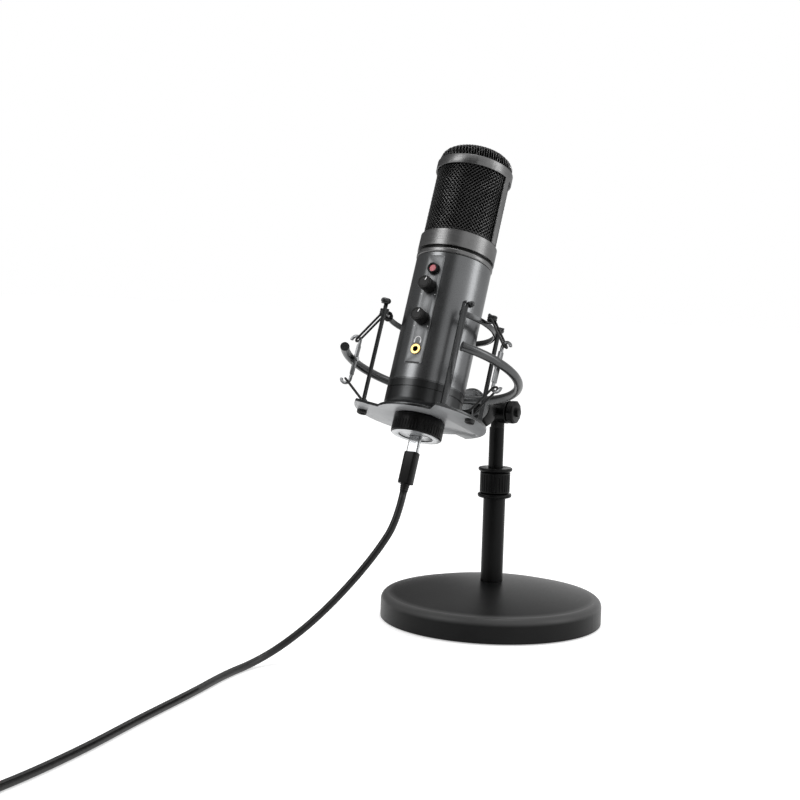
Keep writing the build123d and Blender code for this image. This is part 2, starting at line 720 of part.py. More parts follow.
dome_bore = MESH_R - MESH_WALL
dome_rise = GRILLE_APEX - DOME_SHOULDER
with BuildPart() as grille_dome:
    with BuildSketch(mic_section):
        with BuildLine():
            for rim_r, rise in ((DOME_R, dome_rise), (dome_bore, dome_rise - MESH_WALL)):
                top = DOME_SHOULDER + rise
                start_pull = (rim_r, DOME_SHOULDER + DOME_FULLNESS * rise)
                Bezier((rim_r, DOME_SHOULDER), start_pull, (DOME_FULLNESS * rim_r, top), (0, top))
            Line((0, GRILLE_APEX), (0, GRILLE_APEX - MESH_WALL))
            outside = Polyline((DOME_R, DOME_SHOULDER), (DOME_R, GRILLE_RING_TOP), (MESH_R, GRILLE_RING_TOP))
            Polyline(outside @ 1, (MESH_R, mesh_top), (dome_bore, mesh_top), (dome_bore, DOME_SHOULDER))
        make_face()
    revolve(axis=mic_axis)
save(grille_dome, "grille_dome")

capsule_s = 154.0
capsule_r = 12.5
capsule_depth = 9.0
plate_r = MESH_R - MESH_WALL - SEAT
liner_bottom = GRILLE_BASE_TOP + 2.2

with BuildPart() as capsule_plate:
    with BuildSketch(mic.offset(GRILLE_BASE_TOP)):
        Circle(plate_r)
        with Locations((0, 14)):
            Circle(2.0, mode=Mode.SUBTRACT)
    extrude(amount=liner_bottom - GRILLE_BASE_TOP)
save(capsule_plate, "capsule_plate")

with BuildPart() as foam_liner:
    with BuildSketch(mic.offset(liner_bottom)):
        Circle(plate_r)
        Circle(plate_r - 2.4, mode=Mode.SUBTRACT)
    extrude(amount=mesh_top - liner_bottom)
save(foam_liner, "foam_liner")

with BuildPart() as capsule:
    with BuildSketch(front_plane(-capsule_depth / 2, capsule_s)):
        Circle(capsule_r)
    extrude(amount=capsule_depth)
    fillet(capsule.edges(), 0.8)
save(capsule, "capsule")

with BuildPart() as capsule_saddle:
    with BuildSketch(mic.offset(liner_bottom)):
        Rectangle(20.0, capsule_depth + 2.0)
    extrude(amount=capsule_s - liner_bottom - 4.0)
    with BuildSketch(front_plane(-10.0, capsule_s)):
        Circle(capsule_r + FIT)
    extrude(amount=20.0, mode=Mode.SUBTRACT)
save(capsule_saddle, "capsule_saddle")

# ---------------------------------------------------------------- electronics and controls
board_half = math.sqrt(bore_r**2 - BOARD_Y**2) - 0.2
board_front = -BOARD_Y

with BuildPart() as circuit_board:
    with BuildSketch(front_plane(board_front, 72.0)):
        Rectangle(2 * board_half, 72.0)
    extrude(amount=-BOARD_THICK)
save(circuit_board, "circuit_board")

pot_front = bore_r - 0.9
pot_size = 9.4
shaft_r = 1.5
shaft_end = KNOB_FACE - 2.4
for name, station in (("volume_pot", VOLUME_S), ("gain_pot", GAIN_S)):
    with BuildPart() as pot:
        with BuildSketch(front_plane(board_front, station)):
            Rectangle(pot_size, pot_size)
        extrude(amount=pot_front - board_front)
        with BuildSketch(front_plane(pot_front, station)):
            Circle(JACK_RING_R - 0.3)
        extrude(amount=PANEL_FACE - pot_front)
        with BuildSketch(front_plane(PANEL_FACE, station)):
            Circle(shaft_r)
        extrude(amount=shaft_end - PANEL_FACE)
    save(pot, name)

for name, station in (("volume_knob", VOLUME_S), ("gain_knob", GAIN_S)):
    with BuildPart() as knob:
        with BuildSketch(front_plane(PANEL_FACE + GAP, station)):
            Circle(KNOB_R)
        extrude(amount=KNOB_FACE - PANEL_FACE - GAP)
        fillet(knob.faces().sort_by(Axis.Y)[0].edges(), 0.5)
        with BuildSketch(front_plane(PANEL_FACE + GAP, station)):
            with PolarLocations(KNOB_R + 0.1, 32):
                Circle(0.25)
        extrude(amount=KNOB_FACE - PANEL_FACE - 1.6, mode=Mode.SUBTRACT)
        with BuildSketch(front_plane(PANEL_FACE + GAP, station)):
            Circle(shaft_r + FIT)
        extrude(amount=shaft_end - PANEL_FACE, mode=Mode.SUBTRACT)
    save(knob, name)

button_r = 2.6
bezel_r = 4.2
bezel_height = 0.9
switch_size = 6.2
plunger_r = 1.6
plunger_length = 0.6
mute_travel = 0.5
button_back = bore_r + 0.2
with BuildPart() as mute_bezel:
    with BuildSketch(front_plane(PANEL_FACE, MUTE_S)):
        Circle(bezel_r)
    extrude(amount=bezel_height)
    chamfer(mute_bezel.faces().sort_by(Axis.Y)[0].edges(), 0.3)
    with BuildSketch(front_plane(PANEL_FACE, MUTE_S)):
        Circle(button_r + SEAT)
    extrude(amount=bezel_height, mode=Mode.SUBTRACT)
save(mute_bezel, "mute_bezel")

with BuildPart() as mute_button:
    with BuildSketch(front_plane(button_back, MUTE_S)):
        Circle(button_r)
    extrude(amount=PANEL_FACE + 1.7 - button_back)
    fillet(mute_button.faces().sort_by(Axis.Y)[0].edges(), 0.4)
save(mute_button, "mute_button")

plunger_back = button_back - mute_travel - GAP - plunger_length
with BuildPart() as mute_switch:
    with BuildSketch(front_plane(board_front, MUTE_S)):
        Rectangle(switch_size, switch_size)
    extrude(amount=plunger_back - board_front)
    with BuildSketch(front_plane(plunger_back, MUTE_S)):
        Circle(plunger_r)
    extrude(amount=plunger_length)
save(mute_switch, "mute_switch")

jack_body = (5.8, 6.2)
with BuildPart() as headphone_jack:
    with BuildSketch(front_plane(board_front, JACK_S)):
        Rectangle(*jack_body)
    extrude(amount=bore_r - 3.0 - board_front)
    with BuildSketch(front_plane(bore_r - 3.0, JACK_S)):
        Circle(JACK_RING_R - 0.25)
    extrude(amount=PANEL_FACE - bore_r + 3.0)
    with BuildSketch(front_plane(PANEL_FACE + 0.6, JACK_S)):
        Circle(JACK_BORE_R)
    extrude(amount=-JACK_DEPTH, mode=Mode.SUBTRACT)
save(headphone_jack, "headphone_jack")

with BuildPart() as jack_nut:
    with BuildSketch(front_plane(PANEL_FACE, JACK_S)):
        Circle(JACK_RING_R)
    extrude(amount=0.7)
    chamfer(jack_nut.faces().sort_by(Axis.Y)[0].edges(), 0.2)
    with BuildSketch(front_plane(PANEL_FACE, JACK_S)):
        Circle(JACK_BORE_R)
    extrude(amount=0.7, mode=Mode.SUBTRACT)
save(jack_nut, "jack_nut")

# ---------------------------------------------------------------- USB plug at the microphone
shell_width = 8.3
shell_height = 2.45
shell_wall = 0.3
shell_reach = 6.0

with BuildPart() as plug_shell:
    with BuildSketch(mic.offset(-PLUG_GAP)):
        SlotOverall(shell_width, shell_height)
        SlotOverall(shell_width - 2 * shell_wall, shell_height - 2 * shell_wall, mode=Mode.SUBTRACT)
    extrude(amount=PLUG_GAP + shell_reach)
save(plug_shell, "plug_shell")

with BuildPart() as plug_grip:
    with BuildSketch(mic.offset(-PLUG_GAP)):
        RectangleRounded(PLUG_WIDTH, PLUG_DEPTH, 2.4)
    extrude(amount=-PLUG_LENGTH)
    fillet(plug_grip.faces().sort_by(mic_axis)[-1].edges(), 0.7)
save(plug_grip, "plug_grip")

relief_top = -PLUG_GAP - PLUG_LENGTH
with BuildPart() as plug_relief:
    with BuildSketch(mic.offset(relief_top)):
        Circle(CORD_D / 2 + 0.75)
    with BuildSketch(mic.offset(relief_top - RELIEF_LENGTH)):
        Circle(CORD_D / 2 + 0.2)
    loft()
save(plug_relief, "plug_relief")

# ---------------------------------------------------------------- USB cord
# The route's points were chosen by hand: it leaves the relief along the microphone's axis,
# sags to the left, lies down on the desk in front and runs forward to its coil.
cord_start = mic.from_local_coords((0, 0, relief_top - RELIEF_LENGTH))
cord_route = [
    (cord_start.X, cord_start.Y, cord_start.Z),
    (-2.9, -128.2, 84.2),
    (-9.5, -138.0, 67.0),
    (-22.0, -149.5, 46.0),
    (-36.5, -164.0, 25.5),
    (-50.5, -179.0, 10.0),
    (-58.5, -198.0, CORD_FLOOR),
    (-57.5, -226.0, CORD_FLOOR),
    (-50.0, -267.0, CORD_FLOOR),
    (-43.5, -318.0, CORD_FLOOR),
    (-34.5, -371.0, CORD_FLOOR),
    (-29.5, -427.0, CORD_FLOOR),
    (-32.0, -482.0, CORD_FLOOR),
    (-40.5, -516.0, CORD_FLOOR),
]
coil_centre = (-13.0, -534.0)
corners = [Vector(*point) for point in cord_route]
cord_radii = []
for before, corner, after in zip(corners, corners[1:], corners[2:]):
    turn = math.radians((corner - before).get_angle(after - corner))
    shorter = min((corner - before).length, (after - corner).length)
    cord_radii.append(0.45 * shorter / math.tan(turn / 2))
print("cord radii", [round(radius, 1) for radius in cord_radii])

with BuildPart() as usb_cord:
    with BuildLine() as route_line:
        FilletPolyline(*cord_route, radius=cord_radii)
    first_run = corners[1] - corners[0]
    with BuildSketch(Plane(origin=corners[0], z_dir=first_run)):
        Circle(CORD_D / 2)
    sweep()
save(usb_cord, "usb_cord")
tube_length = sum(edge.length for edge in route_line.edges())
tube_volume = tube_length * math.pi * CORD_D**2 / 4
print("cord tube length", round(tube_length, 1), "volume ratio", round(usb_cord.part.volume / tube_volume, 5))

host_plane = Plane(origin=(11.1, -578.9, 4.3), x_dir=(0.342, 0.94, 0), z_dir=(0.94, -0.342, 0))
with BuildPart() as cord_coil:
    with BuildSketch(Plane.XZ.offset(-coil_centre[1])):
        with Locations((coil_centre[0] + COIL_R, COIL_HEIGHT / 2 + 0.05)):
            RectangleRounded(COIL_WIDTH, COIL_HEIGHT, 2.2)
    revolve(axis=Axis((coil_centre[0], coil_centre[1], 0), (0, 0, 1)))
    with BuildSketch(host_plane):
        Circle(CORD_D / 2)
    extrude(amount=-COIL_TAIL)
save(cord_coil, "cord_coil")

# ---------------------------------------------------------------- USB-A plug at the far end
host_relief_length = 12.0
host_grip_length = 26.0
host_shell_start = host_relief_length + host_grip_length
host_shell_length = 18.5
host_width = 12.0
host_height = 4.5
host_wall = 0.3
host_tongue = 1.9

with BuildPart() as host_relief:
    with BuildSketch(host_plane):
        Circle(CORD_D / 2)
    with BuildSketch(host_plane.offset(host_relief_length)):
        Circle(CORD_D / 2 + 1.0)
    loft()
save(host_relief, "host_relief")

with BuildPart() as host_grip:
    with BuildSketch(host_plane.offset(host_relief_length)):
        RectangleRounded(16.0, 8.2, 3.0)
    extrude(amount=host_grip_length)
save(host_grip, "host_grip")

with BuildPart() as host_shell:
    with BuildSketch(host_plane.offset(host_shell_start)):
        Rectangle(host_width, host_height)
        Rectangle(host_width - 2 * host_wall, host_height - 2 * host_wall, mode=Mode.SUBTRACT)
    extrude(amount=host_shell_length)
    with BuildSketch(host_plane.offset(host_shell_start)):
        with Locations((0, (host_tongue - host_height) / 2 + host_wall + 0.05)):
            Rectangle(host_width - 2 * host_wall, host_tongue)
    extrude(amount=host_shell_length - 1.0)
save(host_shell, "host_shell")
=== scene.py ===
# %% The frame
import json
import math

import bmesh
import bpy
from mathutils import Matrix, Vector

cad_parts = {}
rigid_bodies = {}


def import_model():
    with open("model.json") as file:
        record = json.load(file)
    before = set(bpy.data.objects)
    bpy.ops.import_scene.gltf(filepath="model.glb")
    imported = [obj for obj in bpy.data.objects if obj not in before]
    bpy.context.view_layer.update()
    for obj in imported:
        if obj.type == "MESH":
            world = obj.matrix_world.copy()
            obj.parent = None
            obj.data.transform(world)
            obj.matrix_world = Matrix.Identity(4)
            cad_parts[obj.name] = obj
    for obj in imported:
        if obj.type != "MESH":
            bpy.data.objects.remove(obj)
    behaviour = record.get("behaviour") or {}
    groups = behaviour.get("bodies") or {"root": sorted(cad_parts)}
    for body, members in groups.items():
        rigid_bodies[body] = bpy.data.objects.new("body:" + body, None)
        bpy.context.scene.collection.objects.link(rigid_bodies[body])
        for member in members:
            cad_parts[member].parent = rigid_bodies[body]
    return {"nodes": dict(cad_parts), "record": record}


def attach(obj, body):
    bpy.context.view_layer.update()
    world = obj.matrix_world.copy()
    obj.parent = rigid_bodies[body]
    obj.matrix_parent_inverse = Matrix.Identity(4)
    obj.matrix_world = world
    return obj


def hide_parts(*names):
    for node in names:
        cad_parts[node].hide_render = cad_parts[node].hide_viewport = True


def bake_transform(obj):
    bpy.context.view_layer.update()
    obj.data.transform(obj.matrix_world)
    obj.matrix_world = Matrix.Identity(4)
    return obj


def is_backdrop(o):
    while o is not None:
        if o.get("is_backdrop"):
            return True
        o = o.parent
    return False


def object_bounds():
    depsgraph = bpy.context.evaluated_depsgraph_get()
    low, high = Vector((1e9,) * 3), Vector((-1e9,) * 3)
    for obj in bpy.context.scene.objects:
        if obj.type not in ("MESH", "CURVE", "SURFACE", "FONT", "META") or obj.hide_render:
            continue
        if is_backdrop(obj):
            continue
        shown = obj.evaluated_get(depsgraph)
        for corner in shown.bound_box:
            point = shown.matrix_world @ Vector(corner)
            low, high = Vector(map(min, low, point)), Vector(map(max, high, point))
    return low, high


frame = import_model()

cad_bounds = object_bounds()
nodes = frame["nodes"]

# %% [markdown]
# ## The microphone's own frames
# The microphone leans back, so nothing on it is level. Everything that follows is easier to place with two local
# frames: one on the microphone's axis, and one on the yoke, which leans a little further. Each is a point with
# three directions: to the right, to the rear and up along the axis.

# %% Local frames
MM = 0.001
YOKE_ASIDE, YOKE_REACH, YOKE_DROP = 2.9, 96.3, 8.2
MIC_FOOT_DROP = 45.3
RIGHT = Vector((1, 0, 0))
PIVOT = Vector((0, 0, 142.3)) * MM
YOKE_TILT = math.radians(24.9)
MIC_TILT = math.radians(22.3)


def leaning(tilt):
    """The rear and up directions of something that leans back by this angle."""
    return Vector((0, math.cos(tilt), -math.sin(tilt))), Vector((0, math.sin(tilt), math.cos(tilt)))


yoke_rear, yoke_up = leaning(YOKE_TILT)
mic_rear, mic_up = leaning(MIC_TILT)
yoke_centre = PIVOT - yoke_rear * YOKE_REACH * MM - yoke_up * YOKE_DROP * MM - RIGHT * YOKE_ASIDE * MM
mic_foot = yoke_centre - mic_up * MIC_FOOT_DROP * MM


def mic(x, y, s):
    """A point in the microphone's frame: x to the right, y to the rear, s up from its foot, in millimetres."""
    return mic_foot + (RIGHT * x + mic_rear * y + mic_up * s) * MM


def yoke(x, y, s):
    """The same in the yoke's frame, whose foot is the middle of its bar's circle."""
    return yoke_centre + (RIGHT * x + yoke_rear * y + yoke_up * s) * MM


def round_point(place, angle, radius, s):
    """A point this far out from a frame's axis, at an angle in degrees from the front towards the right."""
    turn = math.radians(angle)
    return place(radius * math.sin(turn), -radius * math.cos(turn), s)


def height_on_mic(point):
    """How far up the microphone a point lies, in millimetres from its foot."""
    return (point - mic_foot).dot(mic_up) / MM


print("microphone's foot at", [round(c, 4) for c in mic_foot])

# %% [markdown]
# ## The camera
# A camera is a position, a direction and a lens. This one looks at the stand from the front and the right, a little
# from above, with a short telephoto lens, so that the upright post stays nearly straight. It is built from its own
# three directions, which also gives it the slight roll that it has.

# %% The camera
CAMERA_AZIMUTH = math.radians(29.46)
CAMERA_ELEVATION = math.radians(5.084)
CAMERA_ROLL = math.radians(1.744)
CAMERA_DISTANCE = 1.0192
CAMERA_ASIDE = -0.0633
CAMERA_ABOVE = 0.0893
CAMERA_TARGET = Vector((0, 0, 0.06))
LENS_MM = 67.5



def in_scene(name, data):
    """A new object with this data, put in the scene."""
    thing = bpy.data.objects.new(name, data)
    bpy.context.scene.collection.objects.link(thing)
    return thing


turn_about_z = Matrix.Rotation(CAMERA_AZIMUTH, 3, "Z")
look = turn_about_z @ Vector((0, math.cos(CAMERA_ELEVATION), -math.sin(CAMERA_ELEVATION)))
level_right = turn_about_z @ RIGHT
level_up = level_right.cross(look)
view_right = level_right * math.cos(CAMERA_ROLL) + level_up * math.sin(CAMERA_ROLL)
view_up = level_up * math.cos(CAMERA_ROLL) - level_right * math.sin(CAMERA_ROLL)
camera_data = bpy.data.cameras.new("camera")
camera_data.lens = LENS_MM
camera_data.sensor_width = 36.0
camera_data.clip_end = 20.0
camera = in_scene("camera", camera_data)
camera_place = Matrix((view_right, view_up, -look)).transposed().to_4x4()
camera_place.translation = (
    CAMERA_TARGET - look * CAMERA_DISTANCE + view_right * CAMERA_ASIDE + view_up * CAMERA_ABOVE
)
camera.matrix_world = camera_place
bpy.context.scene.camera = camera
print("camera at", [round(c, 3) for c in camera.matrix_world.translation])

# %% [markdown]
# ## Floor, world and lamps
# A picture on white needs a floor that still takes a soft shadow, a world that is white where the camera or a shiny
# surface looks at it, and a few large lamps. The lamps matter most, because dark satin metal has almost no colour of
# its own and is seen by the shapes that it reflects.

# %% Floor and world
def sockets(material):
    """The inputs of a material's shader."""
    return material.node_tree.nodes["Principled BSDF"].inputs


def painted(name, values):
    """A new material whose shader has these values."""
    material = bpy.data.materials.new(name)
    material.use_nodes = True
    for label, value in values.items():
        sockets(material)[label].default_value = value
    return material


def rectangle(name, width, height, values):
    """A flat rectangle about the origin, for the stage; where it glows, it glows white."""
    mesh = bpy.data.meshes.new(name)
    x, y = width / 2, height / 2
    mesh.from_pydata([(-x, -y, 0), (x, -y, 0), (x, y, 0), (-x, y, 0)], [], [(0, 1, 2, 3)])
    mesh.materials.append(painted(name, {"Emission Color": (1, 1, 1, 1), **values}))
    return in_scene(name, mesh)


FLOOR_SIZE, FLOOR_GLOW = 12.0, 0.45
floor_values = {"Base Color": (0.93, 0.93, 0.93, 1), "Roughness": 0.9, "Specular IOR Level": 0.1}
floor = rectangle("floor", FLOOR_SIZE, FLOOR_SIZE, floor_values)
floor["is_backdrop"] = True


def wired(tree, kind, inputs=(), **settings):
    """Add a node with its settings; each input is a plain value, or another node's output to link."""
    node = tree.nodes.new(kind)
    for name, value in settings.items():
        setattr(node, name, value)
    for socket, value in dict(inputs).items():
        if isinstance(value, bpy.types.NodeSocket):
            tree.links.new(value, node.inputs[socket])
        else:
            node.inputs[socket].default_value = value
    return node


def seen_directly(tree):
    """One for what the camera, gloss or glass sees, and nought for the light that falls on other things."""
    light_path = wired(tree, "ShaderNodeLightPath").outputs
    seen = light_path["Is Camera Ray"]
    for kind in ("Is Glossy Ray", "Is Transmission Ray"):
        seen = wired(tree, "ShaderNodeMath", {0: seen, 1: light_path[kind]}, operation="MAXIMUM").outputs[0]
    return seen


def level_between(tree, factor, low, high):
    """A number that runs from low to high with a factor."""
    return wired(tree, "ShaderNodeMapRange", {"Value": factor, "To Min": low, "To Max": high}).outputs["Result"]


floor_paint = floor.data.materials[0]
tree = floor_paint.node_tree
tree.links.new(level_between(tree, seen_directly(tree), 0.0, FLOOR_GLOW), sockets(floor_paint)["Emission Strength"])

SEEN_LIGHT = 1.0
FILL_LIGHT = 0.58
world = bpy.data.worlds.new("studio")
bpy.context.scene.world = world
world.use_nodes = True
tree = world.node_tree
background = tree.nodes["Background"]
background.inputs["Color"].default_value = (1, 1, 1, 1)
tree.links.new(level_between(tree, seen_directly(tree), FILL_LIGHT, SEEN_LIGHT), background.inputs["Strength"])
bpy.context.scene.view_settings.view_transform = "Standard"
print("world", FILL_LIGHT, "seen", SEEN_LIGHT)

# %% Lamps
# Each lamp is a large soft rectangle: where it stands, its size in metres and its power in watts.
AIM = Vector((0, -0.06, 0.17))


def aim(thing, place):
    """Put a lamp or a card at a place, with its face towards the object."""
    thing.location = place
    thing.rotation_euler = (AIM - Vector(place)).to_track_quat("-Z", "Y").to_euler()


lamps = {
    "left_front_box": ((-0.75, -1.15, 1.25), (0.7, 0.7), 7.0),
    "right_rear_box": ((1.35, 0.35, 0.75), (0.5, 1.2), 8.0),
    "top_box": ((0.0, 0.2, 1.7), (0.42, 0.42), 6.0),
}
for name, (place, (width, height), power) in lamps.items():
    lamp_data = bpy.data.lights.new(name, "AREA")
    lamp_data.shape = "RECTANGLE"
    lamp_data.size = width
    lamp_data.size_y = height
    lamp_data.energy = power
    aim(in_scene(name, lamp_data), place)
print("lamps", list(lamps))

# %% Grey cards
# Dark cards beside shiny metal give it something dark to show between the lamps. These are seen by shiny surfaces
# only: each has its place, its size and how bright it looks. The floor card lies flat.
cards = {
    "front_card": ((0.27, -1.50, 0.80), (1.35, 1.8), 0.03),
    "floor_card": ((0.25, -0.66, 0.004), (0.9, 0.8), 0.05),
    "left_card": ((-1.5, -0.1, 0.7), (1.7, 1.6), 0.28),
    "rear_left_card": ((-1.45, 1.35, 0.5), (1.3, 1.2), 0.22),
}
for name, (place, (width, height), brightness) in cards.items():
    black = {"Base Color": (0, 0, 0, 1), "Specular IOR Level": 0.0}
    card = rectangle(name, width, height, {**black, "Emission Strength": brightness})
    aim(card, place)
    if name == "floor_card":
        card.rotation_euler = (0, 0, 0)
    card.visible_camera = False
    card.visible_diffuse = False
    card.visible_shadow = False
    card.visible_transmission = False
    card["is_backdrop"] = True
print("cards", list(cards))

# %% [markdown]
# ## Building blocks
# Three small helpers do most of the mesh work. `as_piece` turns lists of points and faces into an object in the
# shared frame. `tube` sweeps a round section along points, turning its section as little as it can from one point
# to the next, so that it never twists. `lathe` turns a profile about a frame's axis.

# %% Helpers for meshes
def as_piece(name, points, faces, finish, smooth=True):
    """A mesh object at the origin with one finish."""
    mesh = bpy.data.meshes.new(name)
    mesh.from_pydata([tuple(p) for p in points], [], faces)
    mesh.update()
    for face in mesh.polygons:
        face.use_smooth = smooth
    mesh.materials.append(finish)
    return in_scene(name, mesh)


def tube(name, line, radii, finish, sides=16, closed=False):
    """A round section swept along a line of points; radii is one radius or one for each point."""
    count = len(line)
    if not isinstance(radii, (list, tuple)):
        radii = [radii] * count
    points, faces, along = [], [], [0.0]
    heading = (line[1] - line[0]).normalized()
    side = heading.orthogonal().normalized()
    rings = []
    for i in range(count):
        before = line[i - 1] if i or closed else line[0]
        after = line[(i + 1) % count] if i + 1 < count or closed else line[-1]
        heading = (after - before).normalized()
        side = (side - heading * side.dot(heading)).normalized()
        rings.append((heading.copy(), side.copy()))
        if i:
            along.append(along[-1] + (line[i] - line[i - 1]).length)
    drift = 0.0
    if closed:
        heading, side = rings[-1]
        home = (rings[0][1] - heading * rings[0][1].dot(heading)).normalized()
        drift = math.atan2(heading.dot(side.cross(home)), side.dot(home))
    for i, (heading, side) in enumerate(rings):
        other = heading.cross(side)
        for k in range(sides):
            turn = 2 * math.pi * k / sides + drift * i / max(count - 1, 1)
            points.append(line[i] + (side * math.cos(turn) + other * math.sin(turn)) * radii[i])
    spans = count if closed else count - 1
    for i in range(spans):
        a, b = i * sides, ((i + 1) % count) * sides
        for k in range(sides):
            m = (k + 1) % sides
            faces.append((a + k, a + m, b + m, b + k))
    if not closed:
        faces.append(tuple(reversed(range(sides))))
        faces.append(tuple(range((count - 1) * sides, count * sides)))
    piece = as_piece(name, points, faces, finish)
    layer = piece.data.uv_layers.new(name="along")
    for face in piece.data.polygons[: spans * sides]:
        i, k = divmod(face.index, sides)
        ahead = along[i + 1] if i + 1 < count else along[-1] + (line[0] - line[-1]).length
        corners = ((along[i], k), (along[i], k + 1), (ahead, k + 1), (ahead, k))
        for loop, (u, v) in zip(face.loop_indices, corners):
            layer.data[loop].uv = (u, v / sides)
    return piece


def recalculated(piece):
    """Merge doubled points and turn every face outwards."""
    mesh = bmesh.new()
    mesh.from_mesh(piece.data)
    bmesh.ops.remove_doubles(mesh, verts=mesh.verts, dist=1e-7)
    bmesh.ops.recalc_face_normals(mesh, faces=mesh.faces)
    mesh.to_mesh(piece.data)
    mesh.free()
    return piece


def rings_of_faces(rings, steps):
    """The faces between rings of points, each ring with this many steps round it."""
    faces = []
    for start in range(0, (rings - 1) * steps, steps):
        for k in range(steps):
            m = (k + 1) % steps
            faces.append((start + k, start + m, start + steps + m, start + steps + k))
    return faces


def lathe(name, place, profile, finish, steps):
    """A closed profile of (radius, station) pairs turned about a frame's axis."""
    points = []
    for radius, station in profile:
        points += [round_point(place, 360 * k / steps, radius, station) for k in range(steps)]
    return recalculated(as_piece(name, points, rings_of_faces(len(profile), steps), finish))


print("helpers ready")


# %% [markdown]
# ## Finishes
# Every finish gets its life from noise in the piece's own coordinates: a large soft noise for uneven colour, and a
# fine one for grain, felt as a tiny bump and as a change of roughness. Sizes are in millimetres, so that grain stays
# as fine as it really is. For turned rings the noise is squeezed along the microphone's axis, which leaves the fine
# rings that a lathe tool cuts.

# %% Helpers for finishes
finishes = {}


def start_finish(name, metallic=0.0, specular=0.5, edge=1.0):
    """A new finish; edge below 1 dims a metal's reflection at a low angle."""
    values = {"Metallic": metallic, "Specular IOR Level": specular, "Specular Tint": (edge, edge, edge, 1)}
    finishes[name] = painted(name, values)
    return finishes[name]


def grain(finish, size, stretch=(1, 1, 1), lean=0.0, detail=4.0, source="Object"):
    """Noise whose spots are about size millimetres, stretched along a frame that leans back."""
    tree = finish.node_tree
    place = wired(tree, "ShaderNodeTexCoord").outputs[source]
    frame_inputs = {"Vector": place, "Rotation": (-lean, 0, 0), "Scale": stretch}
    place = wired(tree, "ShaderNodeMapping", frame_inputs, vector_type="TEXTURE").outputs["Vector"]
    spots = {"Vector": place, "Scale": 1 / (size * MM), "Detail": detail}
    return wired(tree, "ShaderNodeTexNoise", spots).outputs["Fac"]


# Noise seldom leaves the middle of its range, so colours and roughness are spread over these parts of it.
COLOUR_SPAN, GLOSS_SPAN = (0.35, 0.65), (0.3, 0.7)


def shade(finish, pattern, dark, light):
    """The base colour runs between two colours with the pattern."""
    tree = finish.node_tree
    ramp = wired(tree, "ShaderNodeValToRGB", {"Fac": pattern})
    for stop, position, colour in zip(ramp.color_ramp.elements, COLOUR_SPAN, (dark, light)):
        stop.position = position
        stop.color = (*colour, 1)
    tree.links.new(ramp.outputs["Color"], sockets(finish)["Base Color"])


def gloss(finish, pattern, smooth, rough):
    """The roughness runs between two values with the pattern."""
    tree = finish.node_tree
    low, high = GLOSS_SPAN
    limits = {"Value": pattern, "From Min": low, "From Max": high, "To Min": smooth, "To Max": rough}
    span = wired(tree, "ShaderNodeMapRange", limits)
    tree.links.new(span.outputs["Result"], sockets(finish)["Roughness"])


def relief(finish, pattern, height):
    """The pattern stands out by this many millimetres, on top of any relief already there."""
    tree = finish.node_tree
    normal = sockets(finish)["Normal"]
    bump = wired(tree, "ShaderNodeBump", {"Distance": height * MM, "Height": pattern})
    if normal.links:
        tree.links.new(normal.links[0].from_socket, bump.inputs["Normal"])
    tree.links.new(bump.outputs["Normal"], normal)


def grey(value, warmth=0.0):
    """A grey as a colour, a little warmer or colder."""
    return (value * (1 + warmth), value, value * (1 - warmth))


# %% The metals
def satin(name, dark, light, smooth, rough, grain_size, grain_height, **settings):
    """A sprayed or blasted satin metal: soft blotches of colour over an even fine grain."""
    finish = start_finish(name, **settings)
    shade(finish, grain(finish, 22.0, detail=2.0), grey(dark, -0.02), grey(light, -0.02))
    fine = grain(finish, grain_size)
    gloss(finish, fine, smooth, rough)
    relief(finish, fine, grain_height)


satin("base_metal", 0.004, 0.006, 0.33, 0.44, 0.5, 0.02, specular=0.13)
satin("black_metal", 0.003, 0.0045, 0.26, 0.36, 0.35, 0.010, specular=0.10)
satin("grey_metal", 0.32, 0.37, 0.34, 0.46, 0.30, 0.008, metallic=0.35, specular=0.3)
satin("rod_metal", 0.045, 0.060, 0.22, 0.32, 0.30, 0.006, metallic=0.9, edge=0.9)
satin("post_metal", 0.14, 0.18, 0.26, 0.38, 0.30, 0.006, metallic=0.8, edge=0.8)
satin("yoke_metal", 0.060, 0.080, 0.24, 0.34, 0.35, 0.008, metallic=0.9, edge=0.9)
satin("panel_metal", 0.115, 0.130, 0.36, 0.44, 0.22, 0.006, metallic=0.9, edge=0.8)
satin("barrel_metal", 0.135, 0.150, 0.26, 0.32, 0.28, 0.006, metallic=0.95, edge=0.7)
# The darker metal for the barrel's foot is painted shade, standing for the dark reflection low on the barrel.
satin("cup_painted_shade", 0.040, 0.050, 0.28, 0.34, 0.28, 0.006, metallic=0.9, edge=0.6)
satin("port_metal", 0.42, 0.50, 0.25, 0.38, 0.30, 0.006, metallic=0.9)
satin("steel", 0.32, 0.40, 0.18, 0.32, 0.60, 0.004, metallic=1.0)
satin("gold", 0.50, 0.60, 0.16, 0.28, 0.50, 0.003, metallic=1.0)
shade(finishes["gold"], grain(finishes["gold"], 2.0), (0.40, 0.26, 0.085), (0.54, 0.37, 0.14))


